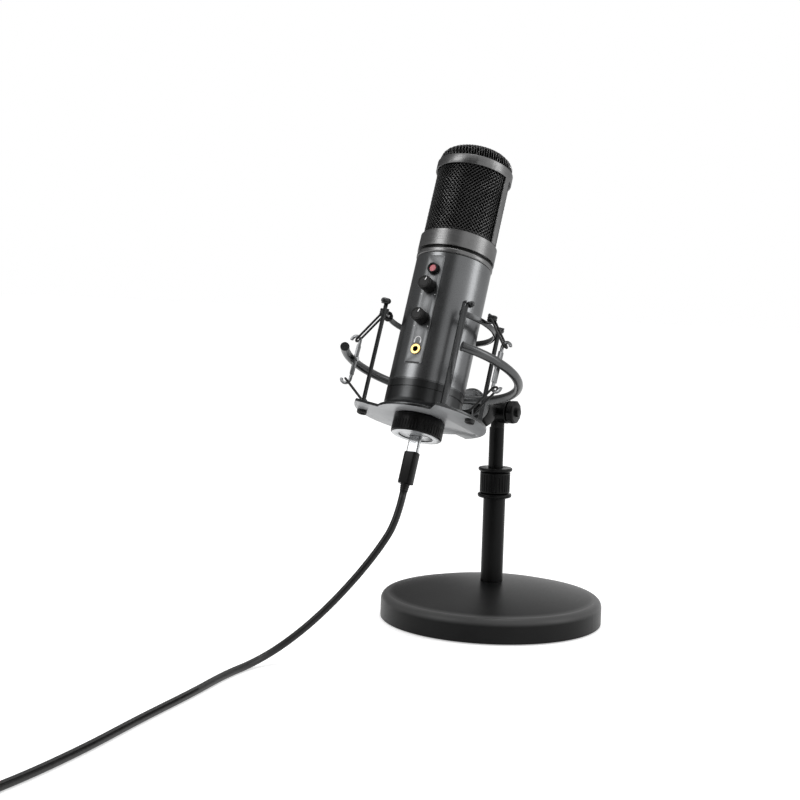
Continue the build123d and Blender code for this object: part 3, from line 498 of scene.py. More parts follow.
def rim_painted_highlight(finish, inner, outer, low, high, colour):
    """Lighten a turned part towards its rim, between two radii and two heights in millimetres: a painted highlight on
    its rounded edge.
    """
    tree = finish.node_tree
    base = sockets(finish)["Base Color"]
    place = wired(tree, "ShaderNodeTexCoord").outputs["Object"]
    flat = wired(tree, "ShaderNodeVectorMath", {0: place, 1: (1, 1, 0)}, operation="MULTIPLY").outputs[0]
    reach = wired(tree, "ShaderNodeVectorMath", {0: flat}, operation="LENGTH").outputs["Value"]
    height = wired(tree, "ShaderNodeSeparateXYZ", {0: place}).outputs["Z"]
    shares = []
    for value, start, end in ((reach, inner, outer), (height, low, high)):
        limits = {"Value": value, "From Min": start * MM, "From Max": end * MM}
        shares.append(wired(tree, "ShaderNodeMapRange", limits, interpolation_type="SMOOTHSTEP").outputs["Result"])
    both = wired(tree, "ShaderNodeMath", {0: shares[0], 1: shares[1]}, operation="MULTIPLY").outputs[0]
    colours = {0: both, 6: base.links[0].from_socket, 7: (*colour, 1)}
    tree.links.new(wired(tree, "ShaderNodeMix", colours, data_type="RGBA").outputs[2], base)


# The lighter band round the base's rounded top edge is a painted highlight, standing for the light that its fillet
# catches.
rim_painted_highlight(finishes["base_metal"], 66.0, 71.0, 11.5, 14.5, grey(0.060))
ring_metal = start_finish("ring_metal", metallic=0.9, edge=0.6)
turning = grain(ring_metal, 0.35, stretch=(60, 60, 1), lean=MIC_TILT)
shade(ring_metal, grain(ring_metal, 16.0, detail=2.0), grey(0.135), grey(0.165))
gloss(ring_metal, turning, 0.26, 0.42)
relief(ring_metal, turning, 0.012)
print("metals", sorted(finishes))

# %% Rubber, plastic, foam and cord
def moulded(name, dark, light, smooth, rough, grain_size, grain_height, **settings):
    """A moulded plastic or rubber: an even colour with a fine sparked texture from its mould."""
    finish = start_finish(name, **settings)
    shade(finish, grain(finish, 9.0, detail=3.0), dark, light)
    fine = grain(finish, grain_size, detail=6.0)
    gloss(finish, fine, smooth, rough)
    relief(finish, fine, grain_height)


moulded("foot_rubber", grey(0.016), grey(0.024), 0.7, 0.9, 0.5, 0.05, specular=0.2)
moulded("black_plastic", grey(0.004), grey(0.006), 0.32, 0.44, 0.25, 0.008, specular=0.16)
moulded("button_plastic", (0.38, 0.025, 0.045), (0.55, 0.06, 0.09), 0.25, 0.40, 0.4, 0.006, specular=0.5)
moulded("board", (0.012, 0.09, 0.04), (0.02, 0.13, 0.06), 0.3, 0.5, 0.8, 0.01)
moulded("foam", grey(0.0015), grey(0.003), 0.9, 1.0, 0.5, 0.35, specular=0.0)
moulded("mesh_metal", grey(0.060), grey(0.085), 0.12, 0.20, 0.30, 0.003, metallic=0.9)
moulded("cord_rubber", grey(0.006), grey(0.010), 0.34, 0.46, 0.6, 0.012, specular=0.3)
moulded("print_ink", grey(0.80), grey(0.88), 0.5, 0.6, 0.3, 0.004, specular=0.3)

elastic = start_finish("elastic", specular=0.35)
braid = grain(elastic, 0.55, stretch=(1, 0.35, 1), detail=1.0, source="UV")
elastic_tree = elastic.node_tree
along_cord = wired(elastic_tree, "ShaderNodeTexCoord").outputs["UV"]
PLAIT_LENGTH, PLAITS_ROUND, PLAIT_LEAN = 0.9 * MM, 6.0, math.radians(38)
spread = {"Vector": along_cord, "Scale": (1 / PLAIT_LENGTH, PLAITS_ROUND, 1.0), "Rotation": (0, 0, PLAIT_LEAN)}
across_plaits = wired(elastic_tree, "ShaderNodeMapping", spread).outputs["Vector"]
waves = {"Vector": across_plaits, "Scale": 0.5, "Distortion": 0.6}
plaits = wired(elastic_tree, "ShaderNodeTexWave", waves).outputs["Fac"]
shade(elastic, plaits, grey(0.004), grey(0.012))
gloss(elastic, braid, 0.45, 0.65)
relief(elastic, plaits, 0.08)
print("finishes", len(finishes))

# %% [markdown]
# ## Finishing the parts that keep their shape
# Most parts already have their true shape and only take a finish, nearly always that of their own material slot. But
# sharp edges look cut from paper, because every real edge is a little round and catches the light. So the parts that
# the eye rests on are copied, their loose triangles are merged, and a narrow bevel is laid on their edges.

# %% Giving each part its finish
slot_of = {part["node"]: part["material_slot"] for part in frame["record"]["subparts"]}
for name, node in nodes.items():
    node.data.materials.clear()
    node.data.materials.append(finishes[slot_of[name]])
for name in ("front_rods", "rear_rods", "cradle_hoop", "stem_ring"):
    nodes[name].data.materials[0] = finishes["rod_metal"]
for name in ("left_post", "right_post"):
    nodes[name].data.materials[0] = finishes["post_metal"]
body_of = {name: body for body, members in frame["record"]["behaviour"]["bodies"].items() for name in members}
print("finished", len(slot_of), "parts")


# %% Rounding the edges
# The parts at the far end of the cord turn with the mast.
COIL_BODY = "mast"
HOST_PARTS = ("host_grip", "host_shell", "host_relief")
BEVEL_SEGMENTS, BEVEL_FROM = 2, math.radians(28)
DOUBLES_WITHIN, FLAT_WITHIN = 2e-6, math.radians(0.5)
CRISP_FROM = math.radians(30)
SQUARE_TO_AXIS, SAME_WAY = 0.02, 0.95


def stand_in(manner, name):
    """A smooth copy of a part, with its loose triangles merged, that stands for the part."""
    mesh = nodes[name].data.copy()
    mesh.name = f"{manner}_{name}"
    work = bmesh.new()
    work.from_mesh(mesh)
    bmesh.ops.remove_doubles(work, verts=work.verts, dist=DOUBLES_WITHIN)
    bmesh.ops.dissolve_limit(work, angle_limit=FLAT_WITHIN, verts=work.verts, edges=work.edges)
    work.to_mesh(mesh)
    work.free()
    for face in mesh.polygons:
        face.use_smooth = True
    piece = in_scene(mesh.name, mesh)
    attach(piece, COIL_BODY if name in HOST_PARTS else body_of[name])
    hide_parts(name)
    return piece


def rounded(name, width):
    """A stand-in with its edges rounded by a bevel this wide in millimetres."""
    piece = stand_in("rounded", name)
    bevel = piece.modifiers.new("edge", "BEVEL")
    bevel.width = width * MM
    bevel.segments = BEVEL_SEGMENTS
    bevel.limit_method = "ANGLE"
    bevel.angle_limit = BEVEL_FROM
    bevel.harden_normals = True
    return piece


def crisp(name):
    """A stand-in whose edges stay sharp, and whose round side faces straight out from the microphone's axis."""
    piece = stand_in("crisp", name)
    mesh = piece.data
    mesh.set_sharp_from_angle(angle=CRISP_FROM)
    facing = [corner.vector.copy() for corner in mesh.corner_normals]
    for face in mesh.polygons:
        if abs(face.normal.dot(mic_up)) > SQUARE_TO_AXIS:
            continue
        for corner in face.loop_indices:
            arm = mesh.vertices[mesh.loops[corner].vertex_index].co - mic_foot
            outward = (arm - mic_up * arm.dot(mic_up)).normalized()
            if outward.dot(face.normal) > SAME_WAY:
                facing[corner] = outward
    mesh.normals_split_custom_set(facing)
    return piece


edge_widths = {
    0.12: ["host_shell"],
    0.15: ["front_panel", "port_neck"],
    0.18: ["clamp_nut"],
    0.2: ["grille_frame", "retaining_nut"],
    0.22: ["front_rods", "rear_rods", "cradle_hoop"],
    0.25: ["clamp_sleeve", "clamp_cap", "swivel_head", "left_post", "right_post", "cradle_plate"],
    0.3: ["tilt_arm", "stem_ring", "plug_grip"],
    0.35: ["tilt_knob"],
    0.5: ["host_grip"],
}
copies = {name: rounded(name, width) for width, names in edge_widths.items() for name in names}
copies.update({name: crisp(name) for name in ("mic_barrel", "grille_base")})
print("copied", len(copies), "parts")

# %% Two finishes on one part
# The cradle's plate is light on its faces, and its cut rim is painted dark as painted shade, where the thick rim lies
# in shadow. The grille's base has a black shoulder, on which the wire ends. The retaining nut and the neck inside it
# are dark round their sides, and bare turned metal on the flat underside round the socket.
def two_tone(name, finish, chosen):
    """Give a second finish to the faces of a copied part for which chosen(normal, centre) is true."""
    mesh = copies[name].data
    mesh.materials.append(finishes[finish])
    for face in mesh.polygons:
        if chosen(face.normal, face.center):
            face.material_index = 1


CUP_TOP, SHOULDER_TOP, UNDERSIDE = 30.2, 118.1, 1.5
RIM_SLANT = 0.7


def faces_down(normal, centre):
    return normal.dot(mic_up) < -SAME_WAY and height_on_mic(centre) < UNDERSIDE


# The plate's cut rim takes the dark rod metal: painted shade where the thick rim lies in shadow.
two_tone("cradle_plate", "rod_metal", lambda normal, centre: abs(normal.dot(mic_up)) < RIM_SLANT)
# The barrel below CUP_TOP takes the darker metal: painted shade for the dark reflection low on the barrel.
two_tone("mic_barrel", "cup_painted_shade", lambda normal, centre: height_on_mic(centre) < CUP_TOP)
two_tone("grille_base", "black_metal", lambda normal, centre: height_on_mic(centre) < SHOULDER_TOP)
two_tone("retaining_nut", "port_metal", faces_down)
two_tone("port_neck", "port_metal", faces_down)
print("two-tone parts done")


# %% [markdown]
# ## The woven grille
# The head of the microphone is covered with woven wire: two families of thin wires that cross, each passing over one
# wire and under the next. Every wire follows the same rule, which is what Geometry Nodes is for. One straight line is
# duplicated, each copy gets its number, and the number and the place along the wire say where each point goes. Round
# the side the wires run as two opposite spirals, and on the dome as a square net pressed down over a rounded cap.

# %% Helpers for node trees
class NodeSheet:
    """A Geometry Nodes tree with named inputs, and short ways to add nodes and arithmetic to it."""

    def __init__(self, name, inputs):
        self.tree = bpy.data.node_groups.new(name, "GeometryNodeTree")
        self.tree.interface.new_socket("Geometry", in_out="OUTPUT", socket_type="NodeSocketGeometry")
        self.ids = {}
        for label, kind in inputs.items():
            socket = self.tree.interface.new_socket(label, in_out="INPUT", socket_type="NodeSocket" + kind)
            self.ids[label] = socket.identifier
        self.given = self.tree.nodes.new("NodeGroupInput").outputs

    def add(self, kind, settings=(), **links):
        inputs = {label.replace("_", " "): value for label, value in links.items()}
        return wired(self.tree, kind, inputs, **dict(settings))

    def math(self, operation, first, second=0.0):
        return wired(self.tree, "ShaderNodeMath", {0: first, 1: second}, operation=operation).outputs[0]

    def times(self, first, second):
        return self.math("MULTIPLY", first, second)

    def over(self, first, second):
        return self.math("DIVIDE", first, second)

    def plus(self, first, second):
        return self.math("ADD", first, second)

    def minus(self, first, second):
        return self.math("SUBTRACT", first, second)

    def finish(self, geometry, finish):
        real = self.add("GeometryNodeRealizeInstances", Geometry=geometry)
        dressed = self.add("GeometryNodeSetMaterial", Geometry=real.outputs[0], Material=finish)
        out = self.tree.nodes.new("NodeGroupOutput")
        self.tree.links.new(dressed.outputs[0], out.inputs["Geometry"])

    def made(self, name, values, place):
        """Run the tree with these input values and keep the result as a plain mesh, moved to its place."""
        carrier = in_scene(name + "_carrier", bpy.data.meshes.new(name + "_carrier"))
        modifier = carrier.modifiers.new("nodes", "NODES")
        modifier.node_group = self.tree
        for label, value in values.items():
            modifier[self.ids[label]] = value
        bpy.context.view_layer.update()
        mesh = bpy.data.meshes.new_from_object(carrier.evaluated_get(bpy.context.evaluated_depsgraph_get()))
        bpy.data.objects.remove(carrier)
        mesh.name = name
        mesh.transform(place)
        return in_scene(name, mesh)


def numbered_wires(sheet, wires, rows):
    """Copies of a line with rows + 1 points: the wire's number, its point's number and its family, +1 or -1."""
    line = sheet.add("GeometryNodeCurvePrimitiveLine")
    points = sheet.plus(rows, 1.0)
    even = sheet.add("GeometryNodeResampleCurve", Curve=line.outputs[0], Count=points)
    copies = sheet.add(
        "GeometryNodeDuplicateElements",
        {"domain": "SPLINE"},
        Geometry=even.outputs[0],
        Amount=sheet.times(wires, 2.0),
    )
    number = copies.outputs["Duplicate Index"]
    family = sheet.minus(1.0, sheet.times(sheet.math("MODULO", number, 2.0), 2.0))
    wire = sheet.math("FLOOR", sheet.over(number, 2.0))
    step = sheet.add("GeometryNodeSplineParameter").outputs["Index"]
    return copies.outputs["Geometry"], wire, step, family


def round_wires(sheet, lines, place, thickness, finish):
    """Move the lines' points to their place and give them a four-sided section."""
    moved = sheet.add("GeometryNodeSetPosition", Geometry=lines, Position=place)
    radius = sheet.times(thickness, 0.5)
    section = sheet.add("GeometryNodeCurvePrimitiveCircle", Resolution=4, Radius=radius).outputs[0]
    solid = sheet.add("GeometryNodeCurveToMesh", Curve=moved.outputs[0], Profile_Curve=section, Fill_Caps=True)
    smooth = sheet.add("GeometryNodeSetShadeSmooth", Geometry=solid.outputs[0])
    sheet.finish(smooth.outputs[0], finish)


mic_place = Matrix((RIGHT, mic_rear, mic_up)).transposed().to_4x4()
mic_place.translation = mic_foot
print("node helpers ready")

# %% The tree for the side
spiral = NodeSheet(
    "spiral_weave",
    {"Wires": "Int", "Rows": "Int", "Radius": "Float", "Height": "Float", "Thickness": "Float", "Finish": "Material"},
)
given = spiral.given
lines, wire, step, family = numbered_wires(spiral, given["Wires"], given["Rows"])
half_step = spiral.over(math.pi, given["Wires"])
leaning_steps = spiral.plus(spiral.times(wire, 2.0), spiral.times(step, family))
turn = spiral.times(leaning_steps, half_step)
over_under = spiral.times(spiral.math("COSINE", spiral.times(step, math.pi)), family)
lift = spiral.times(over_under, spiral.times(given["Thickness"], 0.5))
reach = spiral.plus(given["Radius"], lift)
place = spiral.add(
    "ShaderNodeCombineXYZ",
    X=spiral.times(reach, spiral.math("COSINE", turn)),
    Y=spiral.times(reach, spiral.math("SINE", turn)),
    Z=spiral.times(step, spiral.over(given["Height"], given["Rows"])),
)
round_wires(spiral, lines, place.outputs[0], given["Thickness"], given["Finish"])

# %% The side of the grille
WEAVE_FOOT, WEAVE_TOP = 128.6, 177.6
side_weave = spiral.made(
    "side_weave",
    {
        "Wires": 56,
        "Rows": 38,
        "Radius": 22.95 * MM,
        "Height": (WEAVE_TOP - WEAVE_FOOT) * MM,
        "Thickness": 0.45 * MM,
        "Finish": finishes["mesh_metal"],
    },
    mic_place @ Matrix.Translation((0, 0, WEAVE_FOOT * MM)),
)
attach(side_weave, "microphone")
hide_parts("grille_mesh")
print("side weave", len(side_weave.data.polygons), "faces")

# %% The tree for the dome
# The net's outermost points are pulled in to the rim, so that every wire ends under the ring. Points further out
# than this share of the pitch are dropped.
PAST_RIM = 0.95
net = NodeSheet(
    "dome_weave",
    {
        "Wires": "Int",
        "Pitch": "Float",
        "Rim": "Float",
        "Rise": "Float",
        "Fullness": "Float",
        "Thickness": "Float",
        "Finish": "Material",
    },
)
given = net.given
rows = net.minus(given["Wires"], 1.0)
lines, wire, step, family = numbered_wires(net, given["Wires"], rows)
middle = net.over(rows, 2.0)
across = net.times(net.minus(wire, middle), given["Pitch"])
along = net.times(net.minus(step, middle), given["Pitch"])
second_family = net.math("LESS_THAN", family, 0.0)


def swapped(first, second):
    """The first value for one family of wires, the second for the other."""
    return net.add("ShaderNodeMix", Factor=second_family, A=first, B=second).outputs["Result"]


x, y = swapped(along, across), swapped(across, along)
reach = net.math("SQRT", net.plus(net.times(x, x), net.times(y, y)))
pull = net.math("MINIMUM", net.over(given["Rim"], net.math("MAXIMUM", reach, 1e-6)), 1.0)
share = net.over(net.times(reach, pull), given["Rim"])
left_over = net.math("MAXIMUM", net.minus(1.0, net.math("POWER", share, given["Fullness"])), 0.0)
height = net.times(given["Rise"], net.math("POWER", left_over, net.over(1.0, given["Fullness"])))
beat = net.math("COSINE", net.times(net.plus(step, wire), math.pi))
lift = net.times(net.times(beat, family), net.times(given["Thickness"], 0.5))
place = net.add(
    "ShaderNodeCombineXYZ",
    X=net.times(x, pull),
    Y=net.times(y, pull),
    Z=net.plus(height, lift),
)
overhang = net.times(given["Pitch"], PAST_RIM)
outside = net.math("GREATER_THAN", reach, net.plus(given["Rim"], overhang))
kept = net.add("GeometryNodeDeleteGeometry", {"domain": "POINT"}, Geometry=lines, Selection=outside)
round_wires(net, kept.outputs[0], place.outputs[0], given["Thickness"], given["Finish"])

# %% The dome of the grille
DOME_FOOT, DOME_FULLNESS = 180.2, 2.6
dome_weave = net.made(
    "dome_weave",
    {
        "Wires": 33,
        "Pitch": 1.6 * MM,
        "Rim": 23.75 * MM,
        "Rise": 11.8 * MM,
        "Fullness": DOME_FULLNESS,
        "Thickness": 0.45 * MM,
        "Finish": finishes["mesh_metal"],
    },
    mic_place @ Matrix.Translation((0, 0, DOME_FOOT * MM)) @ Matrix.Rotation(math.radians(45), 4, "Z"),
)
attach(dome_weave, "microphone")
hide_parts("grille_dome")
print("dome weave", len(dome_weave.data.polygons), "faces")

# %% The dark lining of the dome
# Foam lies behind the wire, so that nothing shows through it but darkness.
LINING_STEPS = 14
LINING_R, LINING_FOOT, LINING_RISE = 22.8, 180.4, 10.9
lining_profile = [(22.3, 176.0), (22.9, LINING_FOOT)]
for k in range(1, LINING_STEPS + 1):
    share = math.sin(math.pi / 2 * (1 - k / LINING_STEPS))
    rise = LINING_RISE * (1 - share**DOME_FULLNESS) ** (1 / DOME_FULLNESS)
    lining_profile.append((LINING_R * share, LINING_FOOT + rise))
lining_profile[-1] = (0.01, lining_profile[-1][1])
lining_profile += [(0.01, 189.0), (20.5, 181.5), (20.3, 176.0), (22.3, 176.0)]
dome_lining = lathe("dome_lining", mic, lining_profile, finishes["foam"], steps=64)
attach(dome_lining, "microphone")

# %% [markdown]
# ## The elastic suspension
# The cradle hangs from the yoke on four loops of round elastic cord, stretched tight between a hook on the yoke and
# a peg on the cradle. Each loop is one closed tube: two straight strands with a half turn round each end. A few
# turns of the same cord round each peg make a small dark knot.

# %% The loops
STRAND_R = 0.72
LOOP_HALF = 2.15
END_STEPS, STRAND_STEPS = 12, 9
LOOP_SLACK = 0.9
HOOK_REACH = 52.48
loops = {
    "upper_left_loop": ("upper_bands", (-79.0, 39.0, 76.7), (-82.0, HOOK_REACH, 14.12)),
    "upper_right_loop": ("upper_bands", (80.0, 39.0, 76.7), (78.0, HOOK_REACH, 14.12)),
    "lower_left_loop": ("lower_bands", (-79.0, 38.4, 17.2), (-82.0, HOOK_REACH, -16.12)),
    "lower_right_loop": ("lower_bands", (80.0, 38.4, 17.2), (78.0, HOOK_REACH, -16.12)),
}


def loop_line(peg, hook, across):
    """The closed line of a loop: a half turn round each end and two straight strands between them."""
    along = (hook - peg).normalized()
    ends = [peg - along * LOOP_SLACK * MM, hook + along * LOOP_SLACK * MM]
    line = []
    for end, way in ((ends[1], 1), (ends[0], -1)):
        for k in range(END_STEPS + 1):
            turn = math.pi * k / END_STEPS - math.pi / 2
            line.append(end + (along * way * math.cos(turn) + across * way * math.sin(turn)) * LOOP_HALF * MM)
        start = line[-1]
        goal = (ends[0] + across * LOOP_HALF * MM) if way > 0 else (ends[1] - across * LOOP_HALF * MM)
        line += [start.lerp(goal, k / STRAND_STEPS) for k in range(1, STRAND_STEPS)]
    return line


for name, (node, (peg_angle, peg_r, peg_s), (hook_angle, hook_r, hook_s)) in loops.items():
    peg = round_point(mic, peg_angle, peg_r, peg_s)
    hook = round_point(yoke, hook_angle, hook_r, hook_s)
    outward = (round_point(mic, peg_angle, peg_r + 1, peg_s) - peg).normalized()
    along = (hook - peg).normalized()
    across = mic_up.cross(outward).normalized()
    across = (across - along * across.dot(along)).normalized()
    loop = tube(name, loop_line(peg, hook, across), STRAND_R * MM, finishes["elastic"], sides=12, closed=True)
    recalculated(loop)
    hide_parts(node)
    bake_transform(loop)
    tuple(hook)
    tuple(peg)
print("loops", list(loops))


# %% The knots
# Each cord is tied off in a few turns, round its peg above and under the plate below, and one end round the hoop.
KNOT_TURNS, KNOT_STEPS = 2.5, 50


def knot(name, centre, axis, radius, height, strand_r=0.9):
    """A short close winding about an axis."""
    side = axis.orthogonal().normalized()
    other = axis.cross(side)
    line = []
    for k in range(KNOT_STEPS + 1):
        turn = 2 * math.pi * KNOT_TURNS * k / KNOT_STEPS
        middle = centre + axis * (k / KNOT_STEPS - 0.5) * height * MM
        line.append(middle + (side * math.cos(turn) + other * math.sin(turn)) * radius * MM)
    piece = tube(name, line, strand_r * MM, finishes["elastic"], sides=10)
    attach(piece, "microphone")


HOOP_MID_R, HOOP_MID_S = 34.3, 73.75
UNDER_PLATE_S = 11.1
HOOP_KNOT_ANGLE = -71.0
for side, peg_angle in (("left", -79.0), ("right", 80.0)):
    knot(f"{side}_peg_knot", round_point(mic, peg_angle, 38.6, 77.0), mic_up, 2.2, 3.8)
    knot(f"{side}_plate_knot", round_point(mic, peg_angle, 38.2, UNDER_PLATE_S), mic_up, 2.3, 1.5)
hoop_before, hoop_after = (round_point(mic, HOOP_KNOT_ANGLE + turn, HOOP_MID_R, HOOP_MID_S) for turn in (-1, 1))
hoop_way = (hoop_after - hoop_before).normalized()
knot("hoop_knot", (hoop_before + hoop_after) / 2, hoop_way, 2.35, 3.6, strand_r=0.8)

# %% The rolled tops of the rods
# Each flat rod is rolled over outwards at its top, so that it ends in a small round roll and not in a sharp edge.
ROLL_R, ROLL_S = 1.9, 79.9
ROLL_FROM, ROLL_TO = 35.6, 38.2
ROLL_STEPS, BLUNT_TIP = 6, 0.15
for name, angle in {"front_right": 53.5, "front_left": -53.5, "rear_right": 126.5, "rear_left": -126.5}.items():
    line, radii = [], []
    for end, way in ((ROLL_FROM, -1), (ROLL_TO, 1)):
        for k in range(ROLL_STEPS):
            step = (k if way > 0 else ROLL_STEPS - 1 - k) + BLUNT_TIP
            turn = math.pi / 2 * step / ROLL_STEPS
            line.append(round_point(mic, angle, end + way * ROLL_R * math.sin(turn), ROLL_S))
            radii.append(ROLL_R * math.cos(turn) * MM)
    roll = tube(name + "_roll", line, radii, finishes["rod_metal"], sides=20)
    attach(roll, "microphone")
print("rolled rods done")

# %% [markdown]
# ## Knobs and marks
# The two knobs are turned black plastic: fine ribs round the side for grip, a shallow ring cut into the face, and a
# white line that shows where the knob points. The ribs are real shape, because they are what the light catches. The
# white marks are thin printed skins, a few hundredths of a millimetre proud of the surface.

# %% Turning knobs and the bezel
KNOB_STATIONS = {"gain_knob": 89.6, "volume_knob": 68.7}
BEZEL_STATION = 101.5
RIBS, RIB_DEPTH, PLAIN_STEPS = 48, 0.10, 64


def turned(name, station, profile, node, ribs=0, ribbed_rows=()):
    """A piece turned about a line that stands square on the front panel, with fine ribs on some of its rows."""
    steps = ribs * 4 if ribs else PLAIN_STEPS
    points = []
    for row, (radius, out) in enumerate(profile):
        for k in range(steps):
            turn = 2 * math.pi * k / steps
            cut = RIB_DEPTH * max(0.0, math.cos(ribs * turn)) if row in ribbed_rows else 0.0
            points.append(mic((radius - cut) * math.sin(turn), -out, station + (radius - cut) * math.cos(turn)))
    piece = recalculated(as_piece(name, points, rings_of_faces(len(profile), steps), finishes["black_plastic"]))
    piece.data.set_sharp_from_angle(angle=math.radians(35))
    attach(piece, body_of[node])
    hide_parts(node)
    return piece


knob_profile = [(1.7, 24.15), (4.15, 24.15), (4.3, 24.4), (4.3, 31.3), (4.34, 31.5), (4.34, 31.9), (4.05, 32.35)]
knob_profile += [(3.8, 32.45), (3.35, 32.45), (3.2, 32.2), (2.95, 32.2), (2.8, 32.42), (1.2, 32.38), (0.02, 32.38)]
knob_profile += [(0.02, 30.2), (1.55, 30.2), (1.7, 24.15)]
for node, station in KNOB_STATIONS.items():
    knob = turned("ribbed_" + node, station, knob_profile, node, RIBS, (2, 3))
    print(knob.name, len(knob.data.polygons), "faces")
bezel_profile = [(2.65, 23.82), (2.65, 25.56), (2.2, 25.62), (2.2, 25.8), (2.75, 26.4), (3.1, 26.5), (3.4, 26.3)]
bezel_profile += [(3.5, 25.9), (3.5, 23.82), (2.65, 23.82)]
turned("cupped_bezel", BEZEL_STATION, bezel_profile, "mute_bezel")


# %% Printing a mark
SKIN = 0.05
END_POINTS = 7


def printed(name, outline, place, body, finish="print_ink"):
    """A thin skin with this outline; place turns (across, up, out) in millimetres into a point."""
    count = len(outline)
    points = [place(u, v, 0.0) for u, v in outline] + [place(u, v, SKIN) for u, v in outline]
    faces = [tuple(range(count)), tuple(range(count, 2 * count))]
    faces += [(k, (k + 1) % count, count + (k + 1) % count, count + k) for k in range(count)]
    mark = recalculated(as_piece(name, points, faces, finishes[finish], smooth=False))
    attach(mark, body)


def bar_outline(start, end, width):
    """A straight bar with round ends."""
    a, b = Vector((*start, 0)), Vector((*end, 0))
    along = (b - a).normalized()
    side = Vector((-along.y, along.x, 0))
    outline = []
    for centre, way in ((b, 1), (a, -1)):
        for k in range(END_POINTS):
            turn = math.pi * k / (END_POINTS - 1) - math.pi / 2
            outline.append(centre + (along * math.cos(turn) + side * math.sin(turn)) * way * width / 2)
    return [(point.x, point.y) for point in outline]


def on_panel(station, skin_out=23.82):
    """The place on the front panel for marks about a station; the skin starts just proud of the panel's face."""
    return lambda u, v, out: mic(u, -skin_out - out, station + v)


POINTER_ANGLE = math.radians(24)
KNOB_FACE, KNOB_R = 32.42, 4.3
DOT_WIDTH, DOT_ASIDE, DOT_DOWN = 0.55, 4.7, -4.9


def round_knob(station, skin=0.01):
    """The place on a knob's round side, at the pointer's angle."""

    def place(u, v, out):
        turn = POINTER_ANGLE + u / KNOB_R
        reach = KNOB_R + skin + out
        return mic(reach * math.sin(turn), -v, station + reach * math.cos(turn))

    return place


tip = Vector((math.sin(POINTER_ANGLE), math.cos(POINTER_ANGLE)))
on_face, on_side = bar_outline(tip * 1.5, tip * 3.05, 0.55), bar_outline((0, 25.2), (0, 31.2), 0.6)
for node, station in KNOB_STATIONS.items():
    printed(node + "_pointer", on_face, on_panel(station, KNOB_FACE), body_of[node])
    printed(node + "_side_pointer", on_side, round_knob(station), body_of[node])
    for side, middle in (("left", -DOT_ASIDE), ("right", DOT_ASIDE)):
        dot = bar_outline((middle - 0.08, DOT_DOWN), (middle + 0.08, DOT_DOWN), DOT_WIDTH)
        printed(f"{node}_{side}_dot", dot, on_panel(station), "microphone")

# %% The headphone sign
# The plain sign for headphones: a headband with two ear pads, above its socket.
SIGN_S = 54.6
PANEL_FOOT_GAP_S = 40.3
BAND_STEPS = 20


def half_oval(width, height):
    turns = [math.pi * k / BAND_STEPS for k in range(BAND_STEPS + 1)]
    return [(width * math.cos(turn), height * math.sin(turn)) for turn in turns]


printed("headband_sign", half_oval(2.3, 2.6) + half_oval(1.85, 2.15)[::-1], on_panel(SIGN_S), "microphone")
for side, middle in (("left", -2.05), ("right", 2.05)):
    printed(f"{side}_ear_sign", bar_outline((middle, 0.1), (middle, -1.3), 0.85), on_panel(SIGN_S), "microphone")
# A dark strip at the foot of the panel: the gap between the panel and the barrel, with painted shadow from the
# panel's edge.
foot_gap_and_shadow = bar_outline((-5.0, 0.0), (4.0, 0.0), 0.7)
printed("panel_foot_gap_and_shadow", foot_gap_and_shadow, on_panel(PANEL_FOOT_GAP_S), "microphone", "black_plastic")
print("marks printed")


# %% [markdown]
# ## The cord
# A cord is one smooth line: out of its plug, down under its own weight, along the desk and into a neat coil. A NURBS
# curve with a few given points flows past them without a kink. The coil's turns are further points of the
# same curve: four lie side by side winding inwards, and the rest lie on top of them winding out again, so that the
# far end can leave at the outside.

# %% The cord's line
CORD_DIAMETER = 4.5 * MM
cord_exit = mic(0, 0, -35)
route = [
    tuple(cord_exit / MM),
    (-2.9, -128.2, 84.2),
    (-9.5, -138.0, 67.0),
    (-22.0, -149.5, 46.0),
    (-36.5, -164.0, 25.5),
    (-50.5, -179.0, 10.0),
    (-58.5, -198.0, 2.3),
    (-57.5, -226.0, 2.3),
    (-50.0, -267.0, 2.3),
    (-43.5, -318.0, 2.3),
    (-34.5, -371.0, 2.3),
    (-29.5, -427.0, 2.3),
    (-32.0, -482.0, 2.3),
]
COIL_CENTRE = (-13.0, -534.0)
COIL_OUTER = 33.9
TURN_PITCH = 4.6
LOW, HIGH = 2.3, 6.9
COIL_START = 150.0
TURNS = 7.278
POINTS_PER_TURN = 16
CORNER_PULL = 0.981
SLIDE_FROM, LIFT_FROM, CHANGE_SPAN = 0.80, 0.62, 0.18


def turn_place(turn):
    """The radius and height of the coil at this many turns from its start."""
    whole = int(turn)
    rest = turn - whole
    slide = min(max((rest - SLIDE_FROM) / CHANGE_SPAN, 0.0), 1.0)
    lift = min(max((rest - LIFT_FROM) / CHANGE_SPAN, 0.0), 1.0)
    if whole < 3:
        return COIL_OUTER - TURN_PITCH * (whole + slide), LOW
    if whole == 3:
        return COIL_OUTER - TURN_PITCH * 3, LOW + (HIGH - LOW) * lift
    return COIL_OUTER - TURN_PITCH * (7 - whole - slide), HIGH


coil_points = []
for k in range(1, int(TURNS * POINTS_PER_TURN) + 1):
    turn = k / POINTS_PER_TURN
    radius, height = turn_place(turn)
    angle = math.radians(COIL_START + 360 * turn)
    reach = radius / CORNER_PULL
    coil_points.append((COIL_CENTRE[0] + reach * math.cos(angle), COIL_CENTRE[1] + reach * math.sin(angle), height))
cord_entry = [(-41.5, -512.0, LOW)]
cord_tail = [(-17.0, -568.6, HIGH - 0.4), (-5.0, -573.1, 5.2), (3.0, -575.9, 4.4), (11.1, -578.9, 4.3)]
cord_points = [Vector(p) * MM for p in route + cord_entry + coil_points + cord_tail]

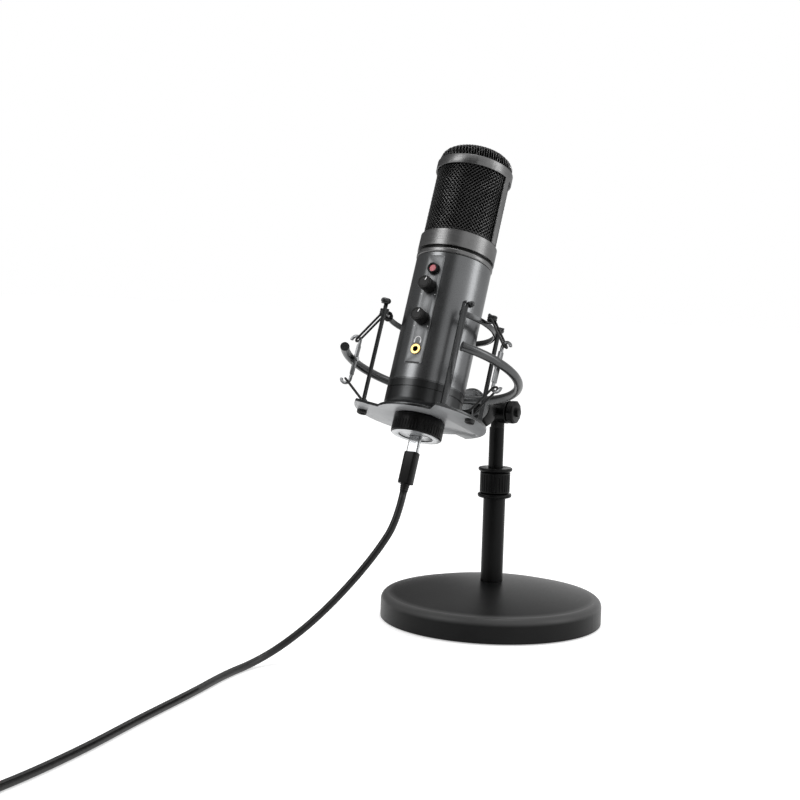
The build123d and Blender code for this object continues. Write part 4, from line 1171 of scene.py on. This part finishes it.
cord_curve = bpy.data.curves.new("cord_line", "CURVE")
cord_curve.dimensions = "3D"
cord_curve.resolution_u = 8
cord_spline = cord_curve.splines.new("NURBS")
cord_spline.points.add(len(cord_points) - 1)
for point, place in zip(cord_spline.points, cord_points):
    point.co = (*place, 1)
cord_spline.order_u = 3
cord_spline.use_endpoint_u = True
cord_line_object = in_scene("cord_line", cord_curve)
bpy.context.view_layer.update()
line_mesh = bpy.data.meshes.new_from_object(cord_line_object.evaluated_get(bpy.context.evaluated_depsgraph_get()))
cord_line = [vertex.co.copy() for vertex in line_mesh.vertices]
bpy.data.objects.remove(cord_line_object)
cord_measure = sum((b - a).length for a, b in zip(cord_line, cord_line[1:]))
print("cord line", len(cord_line), "points,", round(cord_measure, 4), "m")

# %% The cord and its strain reliefs
# The cord crosses from the microphone to the desk.
usb_lead = tube("usb_lead", cord_line, CORD_DIAMETER / 2, finishes["cord_rubber"], sides=14)
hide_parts("usb_cord", "cord_coil")
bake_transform(usb_lead)


RELIEF_RIBS, RIB_STEPS, RELIEF_RIB_DEPTH = 4, 8, 0.18
TONGUE_INSET, TONGUE_TIP_INSET = 0.2, 0.5


def ribbed_relief(name, start, direction, length, thick, thin, body, node, tongue=0.0):
    """A tapering sleeve with round ribs, which keeps a cord from bending sharply at its plug.

    A tongue inside the cord fills the gap that opens when the microphone bounces up.
    """
    steps = RELIEF_RIBS * RIB_STEPS
    line, radii = [], []
    for k in range(steps + 1):
        along = k / steps
        wave = math.sin(2 * math.pi * RELIEF_RIBS * along - math.pi / 2)
        base = thick + (thin - thick) * along
        line.append(start + direction * length * along)
        radii.append(base - RELIEF_RIB_DEPTH * MM * (1 - wave) / 2)
    if tongue:
        line += [line[-1].copy(), line[-1] + direction * tongue]
        radii += [CORD_DIAMETER / 2 - inset * MM for inset in (TONGUE_INSET, TONGUE_TIP_INSET)]
    piece = tube(name, line, radii, finishes["black_plastic"], sides=24)
    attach(piece, body)
    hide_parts(node)
    return piece


host_start = Vector((11.1, -578.9, 4.3)) * MM
host_way = Vector((0.94, -0.342, 0)).normalized()
plug_sleeve = ribbed_relief(
    "plug_sleeve", mic(0, 0, -29.9), -mic_up, 5.1 * MM, 3.0 * MM, 2.5 * MM, "microphone", "plug_relief", 3.4 * MM
)
host_sleeve = ribbed_relief(
    "host_sleeve", host_start + host_way * 12 * MM, -host_way, 12 * MM, 3.2 * MM, 2.5 * MM, COIL_BODY, "host_relief"
)


# %% [markdown]
# ## Measuring the result
# The finished model must fill the same box as the parts that it dresses, so both boxes are measured.

# %% The two boxes
boxes = {"cad": cad_bounds, "visual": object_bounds()}
{name: [list(corner) for corner in box] for name, box in boxes.items()}
